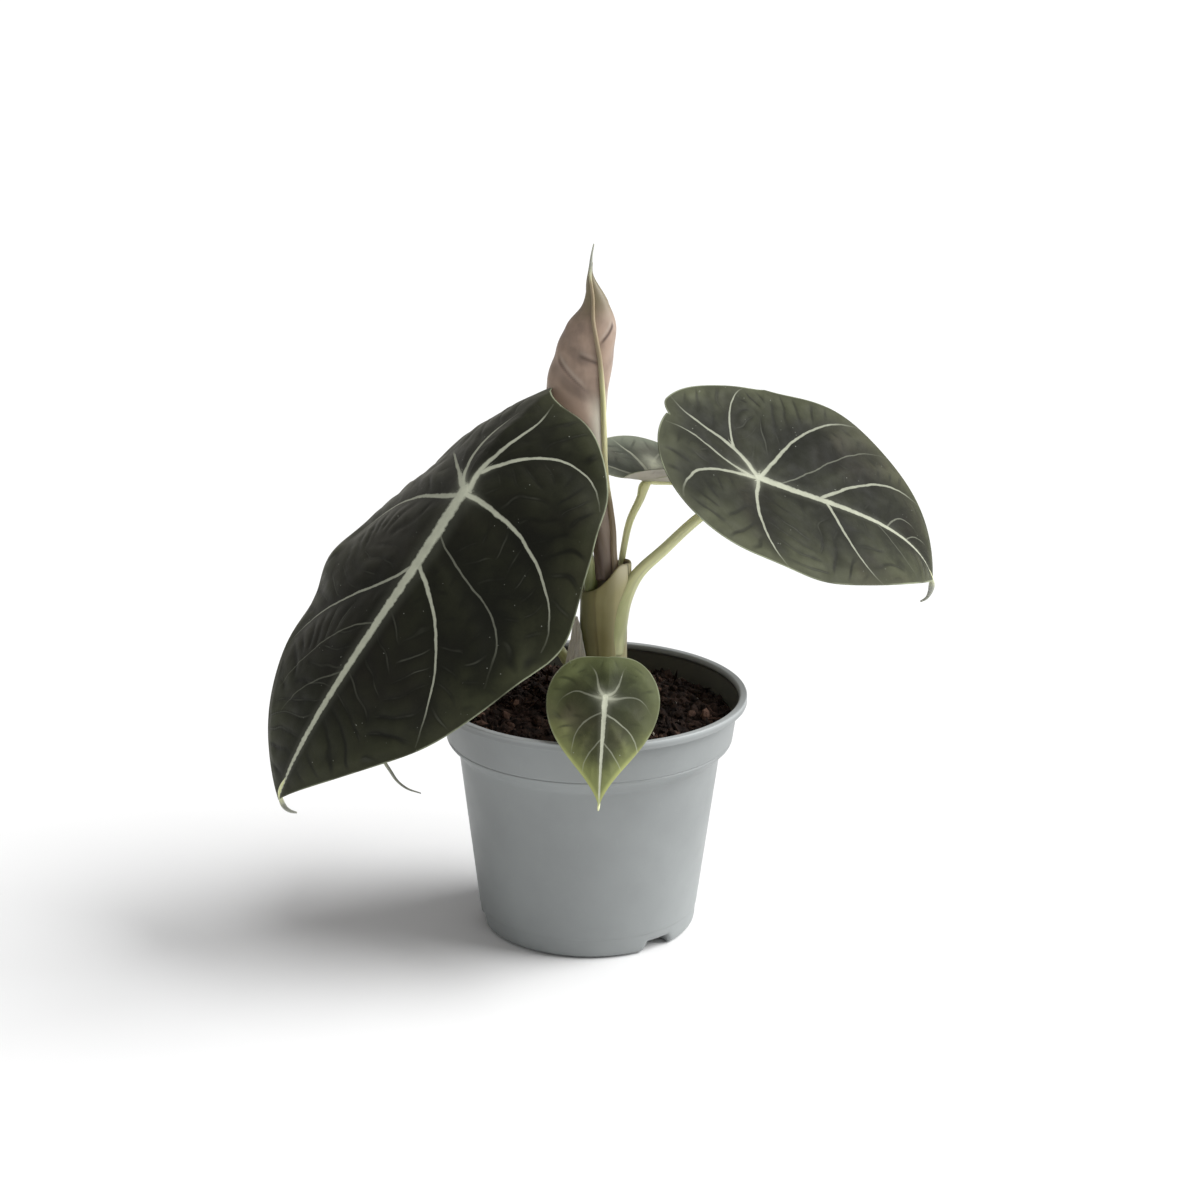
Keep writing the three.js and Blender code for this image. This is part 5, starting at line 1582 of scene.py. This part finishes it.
class ALOCASIA_OT_blades(bpy.types.Operator):
    """Makes the open leaves' blades"""

    bl_idname = "alocasia.blades"
    bl_label = "Leaf blades"

    def execute(self, context):
        looks = context.scene.alocasia_leaf
        # young holds the paler underside, which on the folded blade is painted backlight.
        grown, young, pale = looks.underside, looks.young_and_backlit_underside, looks.vein
        finishes = {
            # top, underside, veins, sheen, specular level, tip
            "velvet_blade": (looks.velvet, grown, pale, 0.16, 0.16),
            # A lit copy of the velvet material: its lighter top colour is painted sheen from the key light,
            # and its real sheen is kept low.
            "sheeny_blade": (looks.sheeny, grown, shade(pale, 0.8), 0.02, 0.1),
            "folded_blade": (looks.folded, young, pale, 0.2, 0.16),
            "young_blade": (looks.young, young, pale, 0.08, 0.16, (0.26, 0.28, 0.1)),
        }
        materials = {slot: blade_material(slot, *finish) for slot, finish in finishes.items()}
        for name, leaf in LEAVES.items():
            build_blade(name, leaf, looks, materials[leaf["slot"]])
        return {"FINISHED"}


class ALOCASIA_OT_petioles(bpy.types.Operator):
    """Makes the petioles, each with the midrib under its blade and the tail past its tip"""

    bl_idname = "alocasia.petioles"
    bl_label = "Petioles"

    def execute(self, context):
        material = petiole_material(context.scene.alocasia_stem)
        for name, leaf in LEAVES.items():
            stops, own, tail = petiole_path(leaf)
            dry = 0 if name == "front_leaf" else tail
            names = (name + "_stalk", name + "_petiole")
            build_petiole(*names, stops, own // 2 + 1, leaf["green"], dry, material)
        names = ("new_leaf_stalk", "new_leaf_petiole")
        build_petiole(*names, new_petiole_path(), 2, 0.5, len(NEW_PETIOLE["tail"]), material, brown=1)
        return {"FINISHED"}


class ALOCASIA_OT_new_leaf(bpy.types.Operator):
    """Makes the new leaf, which is still rolled up"""

    bl_idname = "alocasia.new_leaf"
    bl_label = "Rolled new leaf"

    def execute(self, context):
        build_new_leaf(rolled_material(context.scene.alocasia_leaf))
        return {"FINISHED"}


class ALOCASIA_OT_stage(bpy.types.Operator):
    """Makes the floor, the lights and the camera"""

    bl_idname = "alocasia.stage"
    bl_label = "Stage"

    def execute(self, context):
        build_stage(context.scene.alocasia_stage)
        return {"FINISHED"}


class ALOCASIA_PT_panel(bpy.types.Panel):
    """Lists the pieces and what can be changed on them"""

    bl_label = "Alocasia"
    bl_idname = "ALOCASIA_PT_panel"
    bl_space_type = "VIEW_3D"
    bl_region_type = "UI"
    bl_category = "Alocasia"

    def draw(self, context):
        for group in GROUPS:
            settings = getattr(context.scene, group)
            box = self.layout.box()
            for key in settings.bl_rna.properties.keys():
                if key not in ("name", "rna_type"):
                    box.prop(settings, key)
        for operator in OPERATORS:
            self.layout.operator(operator.bl_idname)


GROUPS = {
    "alocasia_leaf": LeafSettings,
    "alocasia_stem": StemSettings,
    "alocasia_pot": PotSettings,
    "alocasia_stage": StageSettings,
}
OPERATORS = (
    ALOCASIA_OT_pot, ALOCASIA_OT_soil, ALOCASIA_OT_stem, ALOCASIA_OT_blades, ALOCASIA_OT_petioles,
    ALOCASIA_OT_new_leaf, ALOCASIA_OT_stage,
)


def register():
    for kind in (*GROUPS.values(), *OPERATORS, ALOCASIA_PT_panel):
        bpy.utils.register_class(kind)
    for key, group in GROUPS.items():
        setattr(bpy.types.Scene, key, bpy.props.PointerProperty(type=group))


def unregister():
    for key in GROUPS:
        delattr(bpy.types.Scene, key)
    for kind in (ALOCASIA_PT_panel, *reversed(OPERATORS), *GROUPS.values()):
        bpy.utils.unregister_class(kind)


def main():
    """Makes every piece and the stage."""
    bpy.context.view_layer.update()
    register()
    for operator in OPERATORS:
        group, name = operator.bl_idname.split(".")
        getattr(getattr(bpy.ops, group), name)()


if __name__ == "__main__":
    main()
